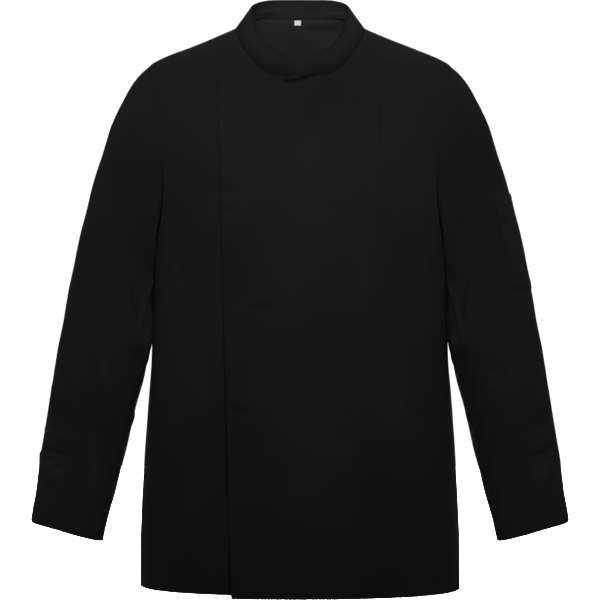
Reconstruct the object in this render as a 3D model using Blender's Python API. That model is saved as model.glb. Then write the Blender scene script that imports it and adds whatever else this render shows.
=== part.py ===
"""Chef jacket with a crossed front and a stand collar, in its worn form and hollow.

Metres, +Z up. The front faces -Y and the wearer's left is at +X.
The origin is the middle of the neck opening, level with the neck ends of the shoulder seams.
"""
import math
from collections import namedtuple

import bmesh
import bpy
import numpy as np

# Cloth
CLOTH = 0.0011
COLLAR_CLOTH = 0.0020
LABEL_CLOTH = 0.0010
SEAM_GAP = 0.0003
LAYER_RISE = 0.0019

# Body
ROUNDNESS = 2.35
UNDERARM_Z = -0.305
SHOULDER_END_Z = -0.050
HEM_Z = {"left_front": -0.7313, "right_front": -0.7268, "back": -0.7300}

# Neck opening
NECK_HALF_WIDTH = 0.084
NECK_DROP = 0.083
NECK_RISE = 0.018
NECK_POINTEDNESS = 1.65
NECK_BACK_CURVE = 2.5

# Armhole: how far it reaches forward and back, and how low its deepest place lies
ARMHOLE_FRONT = 0.0665
ARMHOLE_FRONT_SAG = 0.35
ARMHOLE_BACK = 0.073
ARMHOLE_BACK_SAG = 0.10

# Fronts: the free edge, from its top corner to the hem, measured from the middle
COLLAR_END_X = 0.0195
EDGE_TOP_Z = -0.105
EDGE_X = {"left_front": (0.1030, 0.0853), "right_front": (0.0975, 0.0550)}
STEP_RAMP = 0.020
STEP_REACH = 0.034

# Pen pocket on the left sleeve, from its front edge round to the outer side
POCKET_TOP_Z = -0.2175
POCKET_BOTTOM_Z = -0.3415
POCKET_TOP_X = 0.2465
POCKET_BOTTOM_X = 0.2676
POCKET_WIDTH = 0.082
POCKET_GAP = 0.0005
POCKET_REACH_ALONG = (0.10, 0.85)
POCKET_REACH_ROUND = (110, -75)

# Size label inside the back neck
LABEL_WIDTH = 0.0092
LABEL_DROP = 0.0066
LABEL_X = -0.0031
LABEL_TOP_Z = 0.0172
LABEL_GAP = 0.0008

# Mesh steps
FINE_STEPS = 400
EDGE_STEPS = 5
END_STEPS = 1
NECK_STEPS = 8
SHOULDER_STEPS = 6
BACK_NECK_STEPS = 6
ARMHOLE_STEPS = 14
SIDE_STEPS = 15
SLEEVE_STEPS = 22
COLLAR_STEPS = 3
POCKET_STEPS_DOWN = 8
POCKET_STEPS_ROUND = 12
LABEL_STEPS = 2

CLOTH_COLOUR = (0.012, 0.012, 0.013, 1.0)
LABEL_COLOUR = (0.82, 0.82, 0.80, 1.0)

Section = namedtuple("Section", "z half_width front_depth back_depth")
BODY = (
    Section(-0.7400, 0.2078, 0.147, 0.140),
    Section(-0.6700, 0.2078, 0.145, 0.134),
    Section(-0.6236, 0.2060, 0.144, 0.129),
    Section(-0.5610, 0.2022, 0.143, 0.124),
    Section(-0.4980, 0.1980, 0.142, 0.121),
    Section(-0.4350, 0.1935, 0.141, 0.120),
    Section(-0.3140, 0.1930, 0.138, 0.124),
    Section(-0.2400, 0.1970, 0.132, 0.122),
    Section(-0.1700, 0.2000, 0.120, 0.117),
    Section(-0.1200, 0.2010, 0.105, 0.111),
    Section(-0.0830, 0.2010, 0.088, 0.103),
    Section(-0.0600, 0.2005, 0.076, 0.096),
    Section(-0.0500, 0.1965, 0.071, 0.092),
    Section(-0.0420, 0.1840, 0.066, 0.088),
    Section(-0.0260, 0.1443, 0.056, 0.080),
    Section(-0.0105, 0.1070, 0.042, 0.073),
    Section(0.0000, 0.0840, 0.030, 0.068),
    Section(0.0100, 0.0715, 0.028, 0.066),
    Section(0.0200, 0.0600, 0.026, 0.064),
)

# The sleeve from the armhole to its end: the outer and the under line seen from the
# front, and how far the tube reaches forward and back
Ring = namedtuple("Ring", "along outer_x outer_z under_x under_z front_y back_y")
SLEEVE = (
    Ring(0.00, 0.1975, -0.0500, 0.1935, -0.3050, -0.070, 0.075),
    Ring(0.04, 0.2188, -0.0635, 0.1960, -0.3180, -0.073, 0.076),
    Ring(0.08, 0.2358, -0.0891, 0.1975, -0.3330, -0.076, 0.077),
    Ring(0.14, 0.2446, -0.1205, 0.1980, -0.3500, -0.078, 0.078),
    Ring(0.21, 0.2566, -0.1580, 0.1980, -0.3690, -0.079, 0.078),
    Ring(0.29, 0.2703, -0.2030, 0.1975, -0.3920, -0.079, 0.077),
    Ring(0.38, 0.2831, -0.2540, 0.1972, -0.4180, -0.078, 0.074),
    Ring(0.49, 0.2966, -0.3155, 0.2017, -0.4470, -0.076, 0.069),
    Ring(0.61, 0.3090, -0.3825, 0.2118, -0.4850, -0.074, 0.061),
    Ring(0.71, 0.3190, -0.4430, 0.2205, -0.5165, -0.073, 0.052),
    Ring(0.82, 0.3286, -0.5085, 0.2310, -0.5630, -0.075, 0.039),
    Ring(0.92, 0.3380, -0.5720, 0.2422, -0.6090, -0.079, 0.024),
    Ring(1.00, 0.3481, -0.6400, 0.2554, -0.6680, -0.083, 0.012),
)
SLEEVE_LENGTH = 0.60
SLEEVE_RADIUS = 0.062
SLEEVE_BLEND = 0.16
SLEEVE_CLEARANCE = 0.0022
CLEARANCE_RAMP = 0.10
SEAM_RAMP = 0.05
SLEEVE_END_TILT = 0.0015
ELBOW = 0.7
SLEEVE_CROWDING = 0.45
SLEEVE_FLARE = 0.25

# The collar's upper edge round the neck, from the front middle to the back middle
Edge = namedtuple("Edge", "around x y z")
COLLAR_TOP = (
    Edge(0, 0.0000, -0.0750, -0.0575),
    Edge(20, 0.0240, -0.0710, -0.0320),
    Edge(40, 0.0440, -0.0580, -0.0115),
    Edge(60, 0.0590, -0.0380, 0.0085),
    Edge(80, 0.0645, -0.0160, 0.0200),
    Edge(100, 0.0650, 0.0060, 0.0273),
    Edge(120, 0.0595, 0.0260, 0.0345),
    Edge(150, 0.0360, 0.0500, 0.0418),
    Edge(180, 0.0000, 0.0580, 0.0430),
)
COLLAR_TIP_HEIGHT = 0.003
CROSSING_REACH = 0.043

FOLD_TAPER = 0.4
SHARP_ANGLE = 60
TINY = 1e-6

# Soft folds of the body, seen from the front or the back: a line, its half width and height
BodyFold = namedtuple("BodyFold", "side x0 z0 x1 z1 half_width height")
BODY_FOLDS = (
    BodyFold(-1, 0.150, -0.310, 0.118, -0.400, 0.022, 0.0030),
    BodyFold(-1, -0.152, -0.308, -0.116, -0.410, 0.022, 0.0030),
    BodyFold(-1, 0.160, -0.430, 0.168, -0.720, 0.034, 0.0025),
    BodyFold(-1, -0.158, -0.450, -0.166, -0.720, 0.034, 0.0025),
    BodyFold(1, 0.148, -0.290, 0.090, -0.400, 0.026, 0.0040),
    BodyFold(1, -0.150, -0.290, -0.096, -0.410, 0.026, 0.0040),
    BodyFold(1, 0.070, -0.440, 0.082, -0.720, 0.036, 0.0035),
    BodyFold(1, -0.064, -0.460, -0.080, -0.720, 0.036, 0.0035),
)

# Soft folds of a sleeve: along it (0 to 1) and round it in degrees, 0 outside, 90 in front
SleeveFold = namedtuple("SleeveFold", "along0 round0 along1 round1 half_width height")
LEFT_SLEEVE_FOLDS = (
    SleeveFold(0.76, 10, 0.80, 120, 0.018, 0.0030),
    SleeveFold(0.82, 20, 0.79, 130, 0.016, -0.0025),
    SleeveFold(0.86, 0, 0.84, 100, 0.018, 0.0025),
    SleeveFold(0.62, 100, 0.70, 190, 0.022, 0.0030),
    SleeveFold(0.66, 250, 0.72, 330, 0.022, 0.0030),
    SleeveFold(0.20, 130, 0.46, 165, 0.018, 0.0035),
    SleeveFold(0.22, 230, 0.44, 200, 0.018, 0.0030),
)
RIGHT_SLEEVE_FOLDS = (
    SleeveFold(0.75, 0, 0.77, 130, 0.018, 0.0030),
    SleeveFold(0.80, 10, 0.80, 110, 0.016, -0.0025),
    SleeveFold(0.85, 20, 0.86, 90, 0.018, 0.0025),
    SleeveFold(0.64, 110, 0.71, 200, 0.022, 0.0030),
    SleeveFold(0.65, 240, 0.70, 330, 0.022, 0.0030),
    SleeveFold(0.20, 125, 0.47, 165, 0.018, 0.0035),
    SleeveFold(0.23, 235, 0.45, 200, 0.018, 0.0030),
)


def smooth_step(x):
    """Rise smoothly from 0 to 1 as x goes from 0 to 1."""
    x = np.clip(x, 0.0, 1.0)
    return x * x * (3.0 - 2.0 * x)


def table_curve(rows):
    """Return a function that reads all columns after the first smoothly, without overshoot."""
    table = np.array(rows, dtype=float)
    knots = table[:, 0]
    values = table[:, 1:]
    width = np.diff(knots)[:, None]
    slope = np.diff(values, axis=0) / width
    product = slope[:-1] * slope[1:]
    total = slope[:-1] + slope[1:]
    inner = np.where(product > 0, 2.0 * product / np.where(total == 0, 1.0, total), 0.0)
    tangent = np.vstack([slope[:1], inner, slope[-1:]])

    def read(at):
        at = np.clip(np.asarray(at, dtype=float), knots[0], knots[-1])
        k = np.clip(np.searchsorted(knots, at) - 1, 0, len(knots) - 2)
        f = ((at - knots[k]) / width[k, 0])[..., None]
        step = width[k]
        return (
            (1 + 2 * f) * (1 - f) ** 2 * values[k]
            + f * (1 - f) ** 2 * step * tangent[k]
            + f * f * (3 - 2 * f) * values[k + 1]
            + f * f * (f - 1) * step * tangent[k + 1]
        )

    return read


body_sizes = table_curve(BODY)
sleeve_sizes = table_curve(SLEEVE)
collar_top = table_curve(COLLAR_TOP)


def unit(vectors):
    return vectors / np.linalg.norm(vectors, axis=-1, keepdims=True)


def depth_at(y, sizes):
    """Depth of the body section on the side where y lies."""
    return np.where(y < 0, sizes[..., 1], sizes[..., 2])


def onto_body(points):
    """Move points level, out or in, onto the body's surface."""
    x, y, z = np.moveaxis(points, -1, 0)
    sizes = body_sizes(z)
    reach = np.abs(x / sizes[..., 0]) ** ROUNDNESS
    reach = (reach + np.abs(y / depth_at(y, sizes)) ** ROUNDNESS) ** (1 / ROUNDNESS)
    return np.stack([x / reach, y / reach, z], axis=-1)


def body_normal(points):
    """Outward normal of the body's surface."""
    x, y, z = np.moveaxis(points, -1, 0)
    small = 0.0005
    sizes = body_sizes(z)
    change = (body_sizes(z + small) - body_sizes(z - small)) / (2 * small)
    width = sizes[..., 0]
    depth = depth_at(y, sizes)
    across = np.abs(x / width)
    through = np.abs(y / depth)
    nx = across ** (ROUNDNESS - 1) * np.sign(x) / width
    ny = through ** (ROUNDNESS - 1) * np.sign(y) / depth
    nz = -across**ROUNDNESS * change[..., 0] / width
    nz = nz - through**ROUNDNESS * depth_at(y, change) / depth
    return unit(np.stack([nx, ny, nz], axis=-1))


def side_x(y, z):
    """Half width of the body at depth y and height z."""
    sizes = body_sizes(z)
    share = np.clip(np.abs(y) / depth_at(y, sizes), 0.0, 1.0)
    return sizes[..., 0] * (1 - share**ROUNDNESS) ** (1 / ROUNDNESS)


def face_y(x, z, side):
    """Depth of the body's front (side -1) or back (side 1) at x and z."""
    sizes = body_sizes(z)
    depth = sizes[..., 1] if side < 0 else sizes[..., 2]
    share = np.clip(np.abs(x) / sizes[..., 0], 0.0, 1.0)
    return side * depth * (1 - share**ROUNDNESS) ** (1 / ROUNDNESS)


def run_length(points):
    """Length along a run of points, up to each of them."""
    steps = np.linalg.norm(np.diff(points, axis=0), axis=1)
    return np.concatenate([[0.0], np.cumsum(steps)])


def even_stations(curve, count, first, last):
    """Numbers between first and last at which a curve's points are equal steps apart."""
    fine = np.linspace(first, last, FINE_STEPS)
    length = run_length(curve(fine))
    return np.interp(np.linspace(0, length[-1], count + 1), length, fine)


def even(curve, count, first=0.0, last=1.0):
    """Points at equal steps along a curve that is a function of one number."""
    return curve(even_stations(curve, count, first, last))


def neck_line(around):
    """Neck seam at an angle in degrees: 0 front middle, 90 shoulder, 180 back middle."""
    turn = np.radians(around)
    sine = np.abs(np.sin(turn))
    cosine = np.abs(np.cos(turn))
    power = 2 / NECK_POINTEDNESS
    front = np.abs(around) <= 90
    x = NECK_HALF_WIDTH * np.sign(turn) * np.where(front, sine**power, sine)
    z_back = NECK_RISE * (1 - sine**NECK_BACK_CURVE)
    z = np.where(front, -NECK_DROP * cosine**power, z_back)
    y = np.where(front, face_y(x, z, -1), face_y(x, z, 1))
    return np.stack([x, y, z], axis=-1)


def shoulder_line(share):
    """Shoulder seam from the neck (0) to the armhole (1), along the ridge of the body."""
    z = SHOULDER_END_Z * share
    return np.stack([body_sizes(z)[..., 0], 0 * z, z], axis=-1)


def armhole_line(turn, side):
    """Armhole seam on the front (side -1) or back (side 1): 0 at the shoulder, pi below."""
    middle = (SHOULDER_END_Z + UNDERARM_Z) / 2
    z = middle + (SHOULDER_END_Z - UNDERARM_Z) / 2 * np.cos(turn)
    reach, sag = (ARMHOLE_FRONT, ARMHOLE_FRONT_SAG) if side < 0 else (ARMHOLE_BACK, ARMHOLE_BACK_SAG)
    y = side * reach * np.sin(turn) * (1 - sag * np.cos(turn))
    return np.stack([side_x(y, z), y, z], axis=-1)


def armhole_turns(side):
    """Turns of the armhole stations, from the underarm (pi) up to the shoulder (0)."""
    return even_stations(lambda turn: armhole_line(turn, side), ARMHOLE_STEPS, math.pi, 0.0)


def armhole_edge(side):
    return armhole_line(armhole_turns(side), side)


def edge_x(node, z):
    """Distance of a front's free edge beyond the middle at height z."""
    top, bottom = EDGE_X[node]
    return top + (bottom - top) * (EDGE_TOP_Z - z) / (EDGE_TOP_Z - HEM_Z[node])


def edge_top_z(beyond):
    """Height of the free top edge of a front, a given distance beyond the middle."""
    start = neck_height(COLLAR_END_X)
    share = (beyond - COLLAR_END_X) / (EDGE_X["left_front"][0] - COLLAR_END_X)
    return start + (EDGE_TOP_Z - start) * share


def neck_height(x):
    """Height of the front neck seam at x."""
    share = (abs(x) / NECK_HALF_WIDTH) ** NECK_POINTEDNESS
    return -NECK_DROP * (1 - share) ** (1 / NECK_POINTEDNESS)


def neck_angle(x):
    """Angle round the neck of the front neck seam at x."""
    return math.degrees(math.asin((abs(x) / NECK_HALF_WIDTH) ** (NECK_POINTEDNESS / 2)))


def front_row(node, z, count):
    """Level row on a front, from its free edge to the side seam, at equal steps."""
    sizes = body_sizes(np.array(z))
    start = -np.arcsin((edge_x(node, z) / sizes[0]) ** (ROUNDNESS / 2))

    def section(turn):
        x = sizes[0] * np.sign(turn) * np.abs(np.sin(turn)) ** (2 / ROUNDNESS)
        y = -sizes[1] * np.abs(np.cos(turn)) ** (2 / ROUNDNESS)
        return np.stack([x, y, np.full_like(x, z)], axis=-1)

    return even(section, count, start, math.pi / 2)


def patch(bottom, top, left, right):
    """Fill four edges with a net, then lay it on the body."""
    s = np.linspace(0, 1, len(bottom))[None, :, None]
    t = np.linspace(0, 1, len(left))[:, None, None]
    net = (1 - t) * bottom[None] + t * top[None] + (1 - s) * left[:, None] + s * right[:, None]
    net = net - (1 - t) * ((1 - s) * bottom[0] + s * bottom[-1])
    net = net - t * ((1 - s) * top[0] + s * top[-1])
    laid = onto_body(net)
    laid[0], laid[-1], laid[:, 0], laid[:, -1] = bottom, top, left, right
    return laid


def front_points(node):
    """Points of a front as if it were the wearer's left one, from the hem to the top."""
    columns = EDGE_STEPS + END_STEPS + NECK_STEPS + SHOULDER_STEPS
    levels = np.linspace(HEM_Z[node], UNDERARM_Z, SIDE_STEPS + 1)
    lower = np.array([front_row(node, z, columns) for z in levels])
    corner_x = EDGE_X[node][0]
    corner_z = edge_top_z(corner_x)

    def free_top(beyond):
        z = edge_top_z(beyond)
        return np.stack([-beyond, face_y(beyond, z, -1), z], axis=-1)

    def free_edge(share):
        z = UNDERARM_Z + (corner_z - UNDERARM_Z) * share
        x = edge_x(node, z)
        return np.stack([-x, face_y(x, z, -1), z], axis=-1)

    end_angle = neck_angle(COLLAR_END_X)
    top = np.vstack([
        even(free_top, EDGE_STEPS, corner_x, COLLAR_END_X)[:-1],
        even(neck_line, END_STEPS, -end_angle, 0.0)[:-1],
        even(neck_line, NECK_STEPS, 0.0, 90.0)[:-1],
        even(shoulder_line, SHOULDER_STEPS),
    ])
    upper = patch(lower[-1], top, even(free_edge, ARMHOLE_STEPS), armhole_edge(-1))
    return np.vstack([lower, upper[1:]])


def back_points():
    """Points of the back from the wearer's right side seam to the left, hem to neck."""
    half = BACK_NECK_STEPS + SHOULDER_STEPS
    levels = np.linspace(HEM_Z["back"], UNDERARM_Z, SIDE_STEPS + 1)

    def level_row(z):
        sizes = body_sizes(np.array(z))

        def section(turn):
            x = sizes[0] * np.abs(np.sin(turn)) ** (2 / ROUNDNESS)
            y = sizes[2] * np.abs(np.cos(turn)) ** (2 / ROUNDNESS)
            return np.stack([x, y, np.full_like(x, z)], axis=-1)

        return even(section, half, 0.0, math.pi / 2)

    lower = np.array([level_row(z) for z in levels])
    top = np.vstack([
        even(neck_line, BACK_NECK_STEPS, 180.0, 90.0)[:-1],
        even(shoulder_line, SHOULDER_STEPS),
    ])

    def middle(share):
        z = UNDERARM_Z + (NECK_RISE - UNDERARM_Z) * share
        return np.stack([0 * z, body_sizes(z)[..., 2], z], axis=-1)

    upper = patch(lower[-1], top, even(middle, ARMHOLE_STEPS), armhole_edge(1))
    right_half = np.vstack([lower, upper[1:]])
    return np.concatenate([mirrored(right_half)[:, :0:-1], right_half], axis=1)


def mirrored(points):
    return points * np.array([-1.0, 1.0, 1.0])


def near_segment(across, up, fold_start, fold_end, half_width):
    """1 on a line between two places, falling to 0 at half_width from it and past its ends."""
    run = np.subtract(fold_end, fold_start)
    length = np.hypot(*run)
    along = ((across - fold_start[0]) * run[0] + (up - fold_start[1]) * run[1]) / length
    aside = ((across - fold_start[0]) * run[1] - (up - fold_start[1]) * run[0]) / length
    past = np.maximum(np.maximum(-along, along - length), 0.0)
    ends = smooth_step(np.minimum(along, length - along) / (FOLD_TAPER * length))
    return smooth_step(1 - np.hypot(aside, past) / half_width) * ends


def body_folds(points):
    """Height of the soft folds at points of the body."""
    x, y, z = np.moveaxis(points, -1, 0)
    height = np.zeros_like(x)
    for fold in BODY_FOLDS:
        shape = near_segment(x, z, (fold.x0, fold.z0), (fold.x1, fold.z1), fold.half_width)
        height = height + fold.height * shape * (fold.side * y > 0)
    return height


def layer_rise(points):
    """How far the left front stands off the body to pass over the right front."""
    x, _, z = np.moveaxis(points, -1, 0)
    past_edge = smooth_step((edge_x("right_front", z) + STEP_REACH - x) / STEP_RAMP)
    cover_top = np.where(x > COLLAR_END_X, edge_top_z(np.abs(x)), 1.0)
    below_top = smooth_step((cover_top + STEP_REACH - z) / STEP_RAMP)
    return LAYER_RISE * past_edge * below_top


def seam_allowance(points, side):
    """Pull the points of a panel that lie on the side or shoulder seams back by half a gap."""
    on_seam = np.abs(points[..., 1]) < TINY
    points[..., 1] = np.where(on_seam, side * SEAM_GAP / 2, points[..., 1])
    return points


def sleeve_surface(along, turn, folds):
    """Points of the left sleeve at places along it (0 to 1) and turns round it (0 on top)."""
    along = along[:, None]
    turn = np.mod(turn, 2 * math.pi)[None, :]
    sizes = sleeve_sizes(along[:, 0])[:, None, :]
    swing = np.cos(turn)
    x = (sizes[..., 0] + sizes[..., 2]) / 2 + (sizes[..., 0] - sizes[..., 2]) / 2 * swing
    z = (sizes[..., 1] + sizes[..., 3]) / 2 + (sizes[..., 1] - sizes[..., 3]) / 2 * swing
    y = (sizes[..., 4] + sizes[..., 5]) / 2 + (sizes[..., 4] - sizes[..., 5]) / 2 * np.sin(turn)
    z = z + SLEEVE_END_TILT * np.sin(turn) * smooth_step((along - ELBOW) / (1 - ELBOW))
    tube = np.stack([x, y, z], axis=-1)
    before = armhole_line(np.minimum(turn, math.pi), -1)
    behind = armhole_line(2 * math.pi - np.maximum(turn, math.pi), 1)
    armhole = np.where((turn <= math.pi)[..., None], before, behind)
    share = smooth_step(along / SLEEVE_BLEND)[..., None]
    tube = armhole * (1 - share) + tube * share
    tube = tube + sleeve_outward(along, turn) * sleeve_folds(along, turn, folds)[..., None]
    clear = SEAM_GAP + (SLEEVE_CLEARANCE - SEAM_GAP) * smooth_step(along / CLEARANCE_RAMP)
    limit = side_x(tube[..., 1], tube[..., 2]) + clear
    tube[..., 0] = np.maximum(tube[..., 0], limit)
    return tube


def sleeve_outward(along, turn):
    """Rough outward direction round the sleeve, along which its folds stand."""
    drop = SLEEVE_FLARE * along + 0 * turn
    return unit(np.stack([np.cos(turn) + 0 * along, -np.sin(turn) + 0 * along, drop], axis=-1))


def sleeve_points(folds):
    """Points and outward normals of the left sleeve, in rings from the armhole to the end."""
    turn = np.concatenate([armhole_turns(-1)[::-1], 2 * math.pi - armhole_turns(1)[1:-1]])
    along = sleeve_stations()
    tube = sleeve_surface(along, turn, folds)
    normal = ring_normals(tube)
    at_seam = 1 - smooth_step(along / SEAM_RAMP)[:, None]
    lean = np.maximum(normal[..., 0], 0.0) * CLOTH * at_seam
    tube[..., 0] = tube[..., 0] + lean
    return tube, normal


def sleeve_stations():
    """Places along the sleeve, closer together at the shoulder."""
    share = np.linspace(0, 1, SLEEVE_STEPS + 1)
    return share * (1 - SLEEVE_CROWDING + SLEEVE_CROWDING * share)


def sleeve_folds(along, turn, folds):
    """Height of the soft folds of the sleeve."""
    length = SLEEVE_LENGTH * along + 0 * turn
    round_it = SLEEVE_RADIUS * turn + 0 * along
    height = np.zeros_like(length)
    for fold in folds:
        start = (SLEEVE_RADIUS * math.radians(fold.round0), SLEEVE_LENGTH * fold.along0)
        end = (SLEEVE_RADIUS * math.radians(fold.round1), SLEEVE_LENGTH * fold.along1)
        height = height + fold.height * near_segment(round_it, length, start, end, fold.half_width)
    return height


def ring_normals(rings):
    """Outward normals of a tube of rings that run from the top to the front."""
    round_it = np.roll(rings, -1, axis=1) - np.roll(rings, 1, axis=1)
    along = np.gradient(rings, axis=0)
    return unit(np.cross(round_it, along))


def net_normals(net):
    """Outward normals of an open net with rows along +X seen from the front."""
    return unit(np.cross(np.gradient(net, axis=1), np.gradient(net, axis=0)))


def add_wall(name, outer, inner, colour, closed=False, flip=False):
    """Make the solid between an outer and an inner net of points."""
    rows, columns = outer.shape[:2]
    mesh = bmesh.new()
    skins = [[[mesh.verts.new(p) for p in row] for row in net] for net in (outer, inner)]
    out, back = skins

    def quad(a, b, c, d):
        mesh.faces.new((d, c, b, a) if flip else (a, b, c, d))

    spans = columns if closed else columns - 1
    for i in range(rows - 1):
        for j in range(spans):
            k = (j + 1) % columns
            quad(out[i][j], out[i][k], out[i + 1][k], out[i + 1][j])
            quad(back[i][j], back[i + 1][j], back[i + 1][k], back[i][k])
    for j in range(spans):
        k = (j + 1) % columns
        quad(out[0][k], out[0][j], back[0][j], back[0][k])
        quad(out[-1][j], out[-1][k], back[-1][k], back[-1][j])
    if not closed:
        for i in range(rows - 1):
            quad(out[i][0], out[i + 1][0], back[i + 1][0], back[i][0])
            quad(out[i + 1][-1], out[i][-1], back[i][-1], back[i + 1][-1])
    bmesh.ops.triangulate(mesh, faces=mesh.faces[:])
    data = bpy.data.meshes.new(name)
    mesh.to_mesh(data)
    mesh.free()
    data.shade_smooth()
    data.set_sharp_from_angle(angle=math.radians(SHARP_ANGLE))
    data.materials.append(material(name, colour))
    piece = bpy.data.objects.new(name, data)
    bpy.context.collection.objects.link(piece)
    return piece


def material(name, colour):
    finish = bpy.data.materials.new(name)
    finish.use_nodes = True
    shader = finish.node_tree.nodes["Principled BSDF"]
    shader.inputs["Base Color"].default_value = colour
    shader.inputs["Roughness"].default_value = 0.85
    shader.inputs["Metallic"].default_value = 0.0
    return finish


def make_front(node, side):
    """One front; side is 1 for the wearer's left and -1 for the right."""
    base = front_points(node)
    normal = body_normal(base)
    base = seam_allowance(base, -1)
    placed = base if side > 0 else mirrored(base)
    placed_normal = normal if side > 0 else mirrored(normal)
    rise = body_folds(placed)
    if node == "left_front":
        rise = rise + layer_rise(placed)
    outer = placed + placed_normal * rise[..., None]
    add_wall(node, outer, outer - placed_normal * CLOTH, CLOTH_COLOUR, flip=side < 0)


def make_back():
    base = back_points()
    normal = body_normal(base)
    base = seam_allowance(base, 1)
    outer = base + normal * body_folds(base)[..., None]
    add_wall("back", outer, outer - normal * CLOTH, CLOTH_COLOUR, flip=True)


def make_sleeve(node, folds, side):
    outer, normal = sleeve_points(folds)
    inner = outer - normal * CLOTH
    if side < 0:
        outer, inner = mirrored(outer), mirrored(inner)
    add_wall(node, outer, inner, CLOTH_COLOUR, closed=True, flip=side < 0)


def collar_half():
    """Base and top of the collar's left half, from the back middle to the crossed end."""
    end_angle = neck_angle(COLLAR_END_X)
    around = np.concatenate([
        even_stations(neck_line, BACK_NECK_STEPS, 180.0, 90.0)[:-1],
        even_stations(neck_line, NECK_STEPS, 90.0, 0.0)[:-1],
        even_stations(neck_line, END_STEPS, 0.0, -end_angle),
    ])
    base = neck_line(around)
    share = np.clip(-base[:, :1] / COLLAR_END_X, 0, 1)
    tip = base[-1] + np.array([0, 0, COLLAR_TIP_HEIGHT])
    crossing = (1 - share) * collar_top(0.0) + share * tip
    top = np.where(around[:, None] < 0, crossing, collar_top(around))
    return base, top


def make_collar():
    """Stand collar: one band from the wearer's right end round the back to the left end."""
    base, top = collar_half()
    rows = np.linspace(0, 1, COLLAR_STEPS + 1)[:, None, None]
    half = base[None] * (1 - rows) + top[None] * rows
    half = half + unit(top - base)[None] * SEAM_GAP * (1 - rows)
    plan = np.gradient(base, axis=0) * np.array([1, 1, 0])
    outward = unit(np.stack([-plan[:, 1], plan[:, 0], 0 * plan[:, 0]], axis=-1))
    outward = outward * np.sign((outward * (base * [1, 1, 0])).sum(axis=1))[:, None]
    rise = layer_rise(base) * (base[:, 1] < 0)
    near_end = smooth_step((CROSSING_REACH - base[:, 0]) / COLLAR_END_X) * (base[:, 1] < 0)
    past_rise = (COLLAR_CLOTH + SEAM_GAP) * near_end - rise
    shift = body_normal(base) * rise[:, None] + outward * np.maximum(past_rise, 0)[:, None]
    left = half + shift[None]
    right = mirrored(half)
    outer = np.concatenate([right[:, :0:-1], left], axis=1)
    outward_all = np.vstack([mirrored(outward)[:0:-1], outward])
    add_wall("collar", outer, outer - outward_all[None] * COLLAR_CLOTH, CLOTH_COLOUR, flip=True)


def pocket_row(z, surface, turn):
    """Level row on the sleeve, from the pocket's front edge round to the outer side."""
    at_level = np.array([
        [np.interp(-z, -surface[:, k, 2], surface[:, k, axis]) for axis in range(3)]
        for k in range(len(turn))
    ])
    share = (POCKET_TOP_Z - z) / (POCKET_TOP_Z - POCKET_BOTTOM_Z)
    front_x = POCKET_TOP_X + (POCKET_BOTTOM_X - POCKET_TOP_X) * share
    length = run_length(at_level)
    widest = np.argmax(at_level[:, 0])
    start = np.interp(front_x, at_level[:widest, 0], length[:widest])
    wanted = np.linspace(start, start + POCKET_WIDTH, POCKET_STEPS_ROUND + 1)
    return np.stack([np.interp(wanted, length, at_level[:, axis]) for axis in range(3)], axis=-1)


def make_pocket():
    """Pen pocket, made from the points of the sleeve under it and moved out."""
    turn = np.radians(np.linspace(*POCKET_REACH_ROUND, FINE_STEPS))
    along = np.linspace(*POCKET_REACH_ALONG, FINE_STEPS)
    surface = sleeve_surface(along, turn, LEFT_SLEEVE_FOLDS)
    levels = np.linspace(POCKET_BOTTOM_Z, POCKET_TOP_Z, POCKET_STEPS_DOWN + 1)
    net = np.array([pocket_row(z, surface, turn) for z in levels])
    normal = net_normals(net)
    under = net + normal * POCKET_GAP
    add_wall("sleeve_pocket", under + normal * CLOTH, under, CLOTH_COLOUR)


def make_label():
    """Small blank tab on the inside of the back, under the collar."""
    across = np.linspace(LABEL_X + LABEL_WIDTH / 2, LABEL_X - LABEL_WIDTH / 2, LABEL_STEPS + 1)
    up = np.linspace(LABEL_TOP_Z - LABEL_DROP, LABEL_TOP_Z, LABEL_STEPS + 1)
    x, z = np.meshgrid(across, up)
    net = np.stack([x, face_y(x, z, 1), z], axis=-1)
    inward = -body_normal(net)
    under = net + inward * (CLOTH + LABEL_GAP)
    add_wall("size_label", under + inward * LABEL_CLOTH, under, LABEL_COLOUR, flip=True)


def main():
    for old in list(bpy.data.objects):
        bpy.data.objects.remove(old, do_unlink=True)
    make_front("left_front", 1)
    make_front("right_front", -1)
    make_back()
    make_sleeve("left_sleeve", LEFT_SLEEVE_FOLDS, 1)
    make_sleeve("right_sleeve", RIGHT_SLEEVE_FOLDS, -1)
    make_collar()
    make_pocket()
    make_label()


main()
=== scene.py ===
"""Chef jacket in its worn form: cloth, sewing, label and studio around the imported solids.

Metres, +Z up. The front faces -Y and the wearer's left is at +X.
"""
import json
import math
from collections import namedtuple

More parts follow.
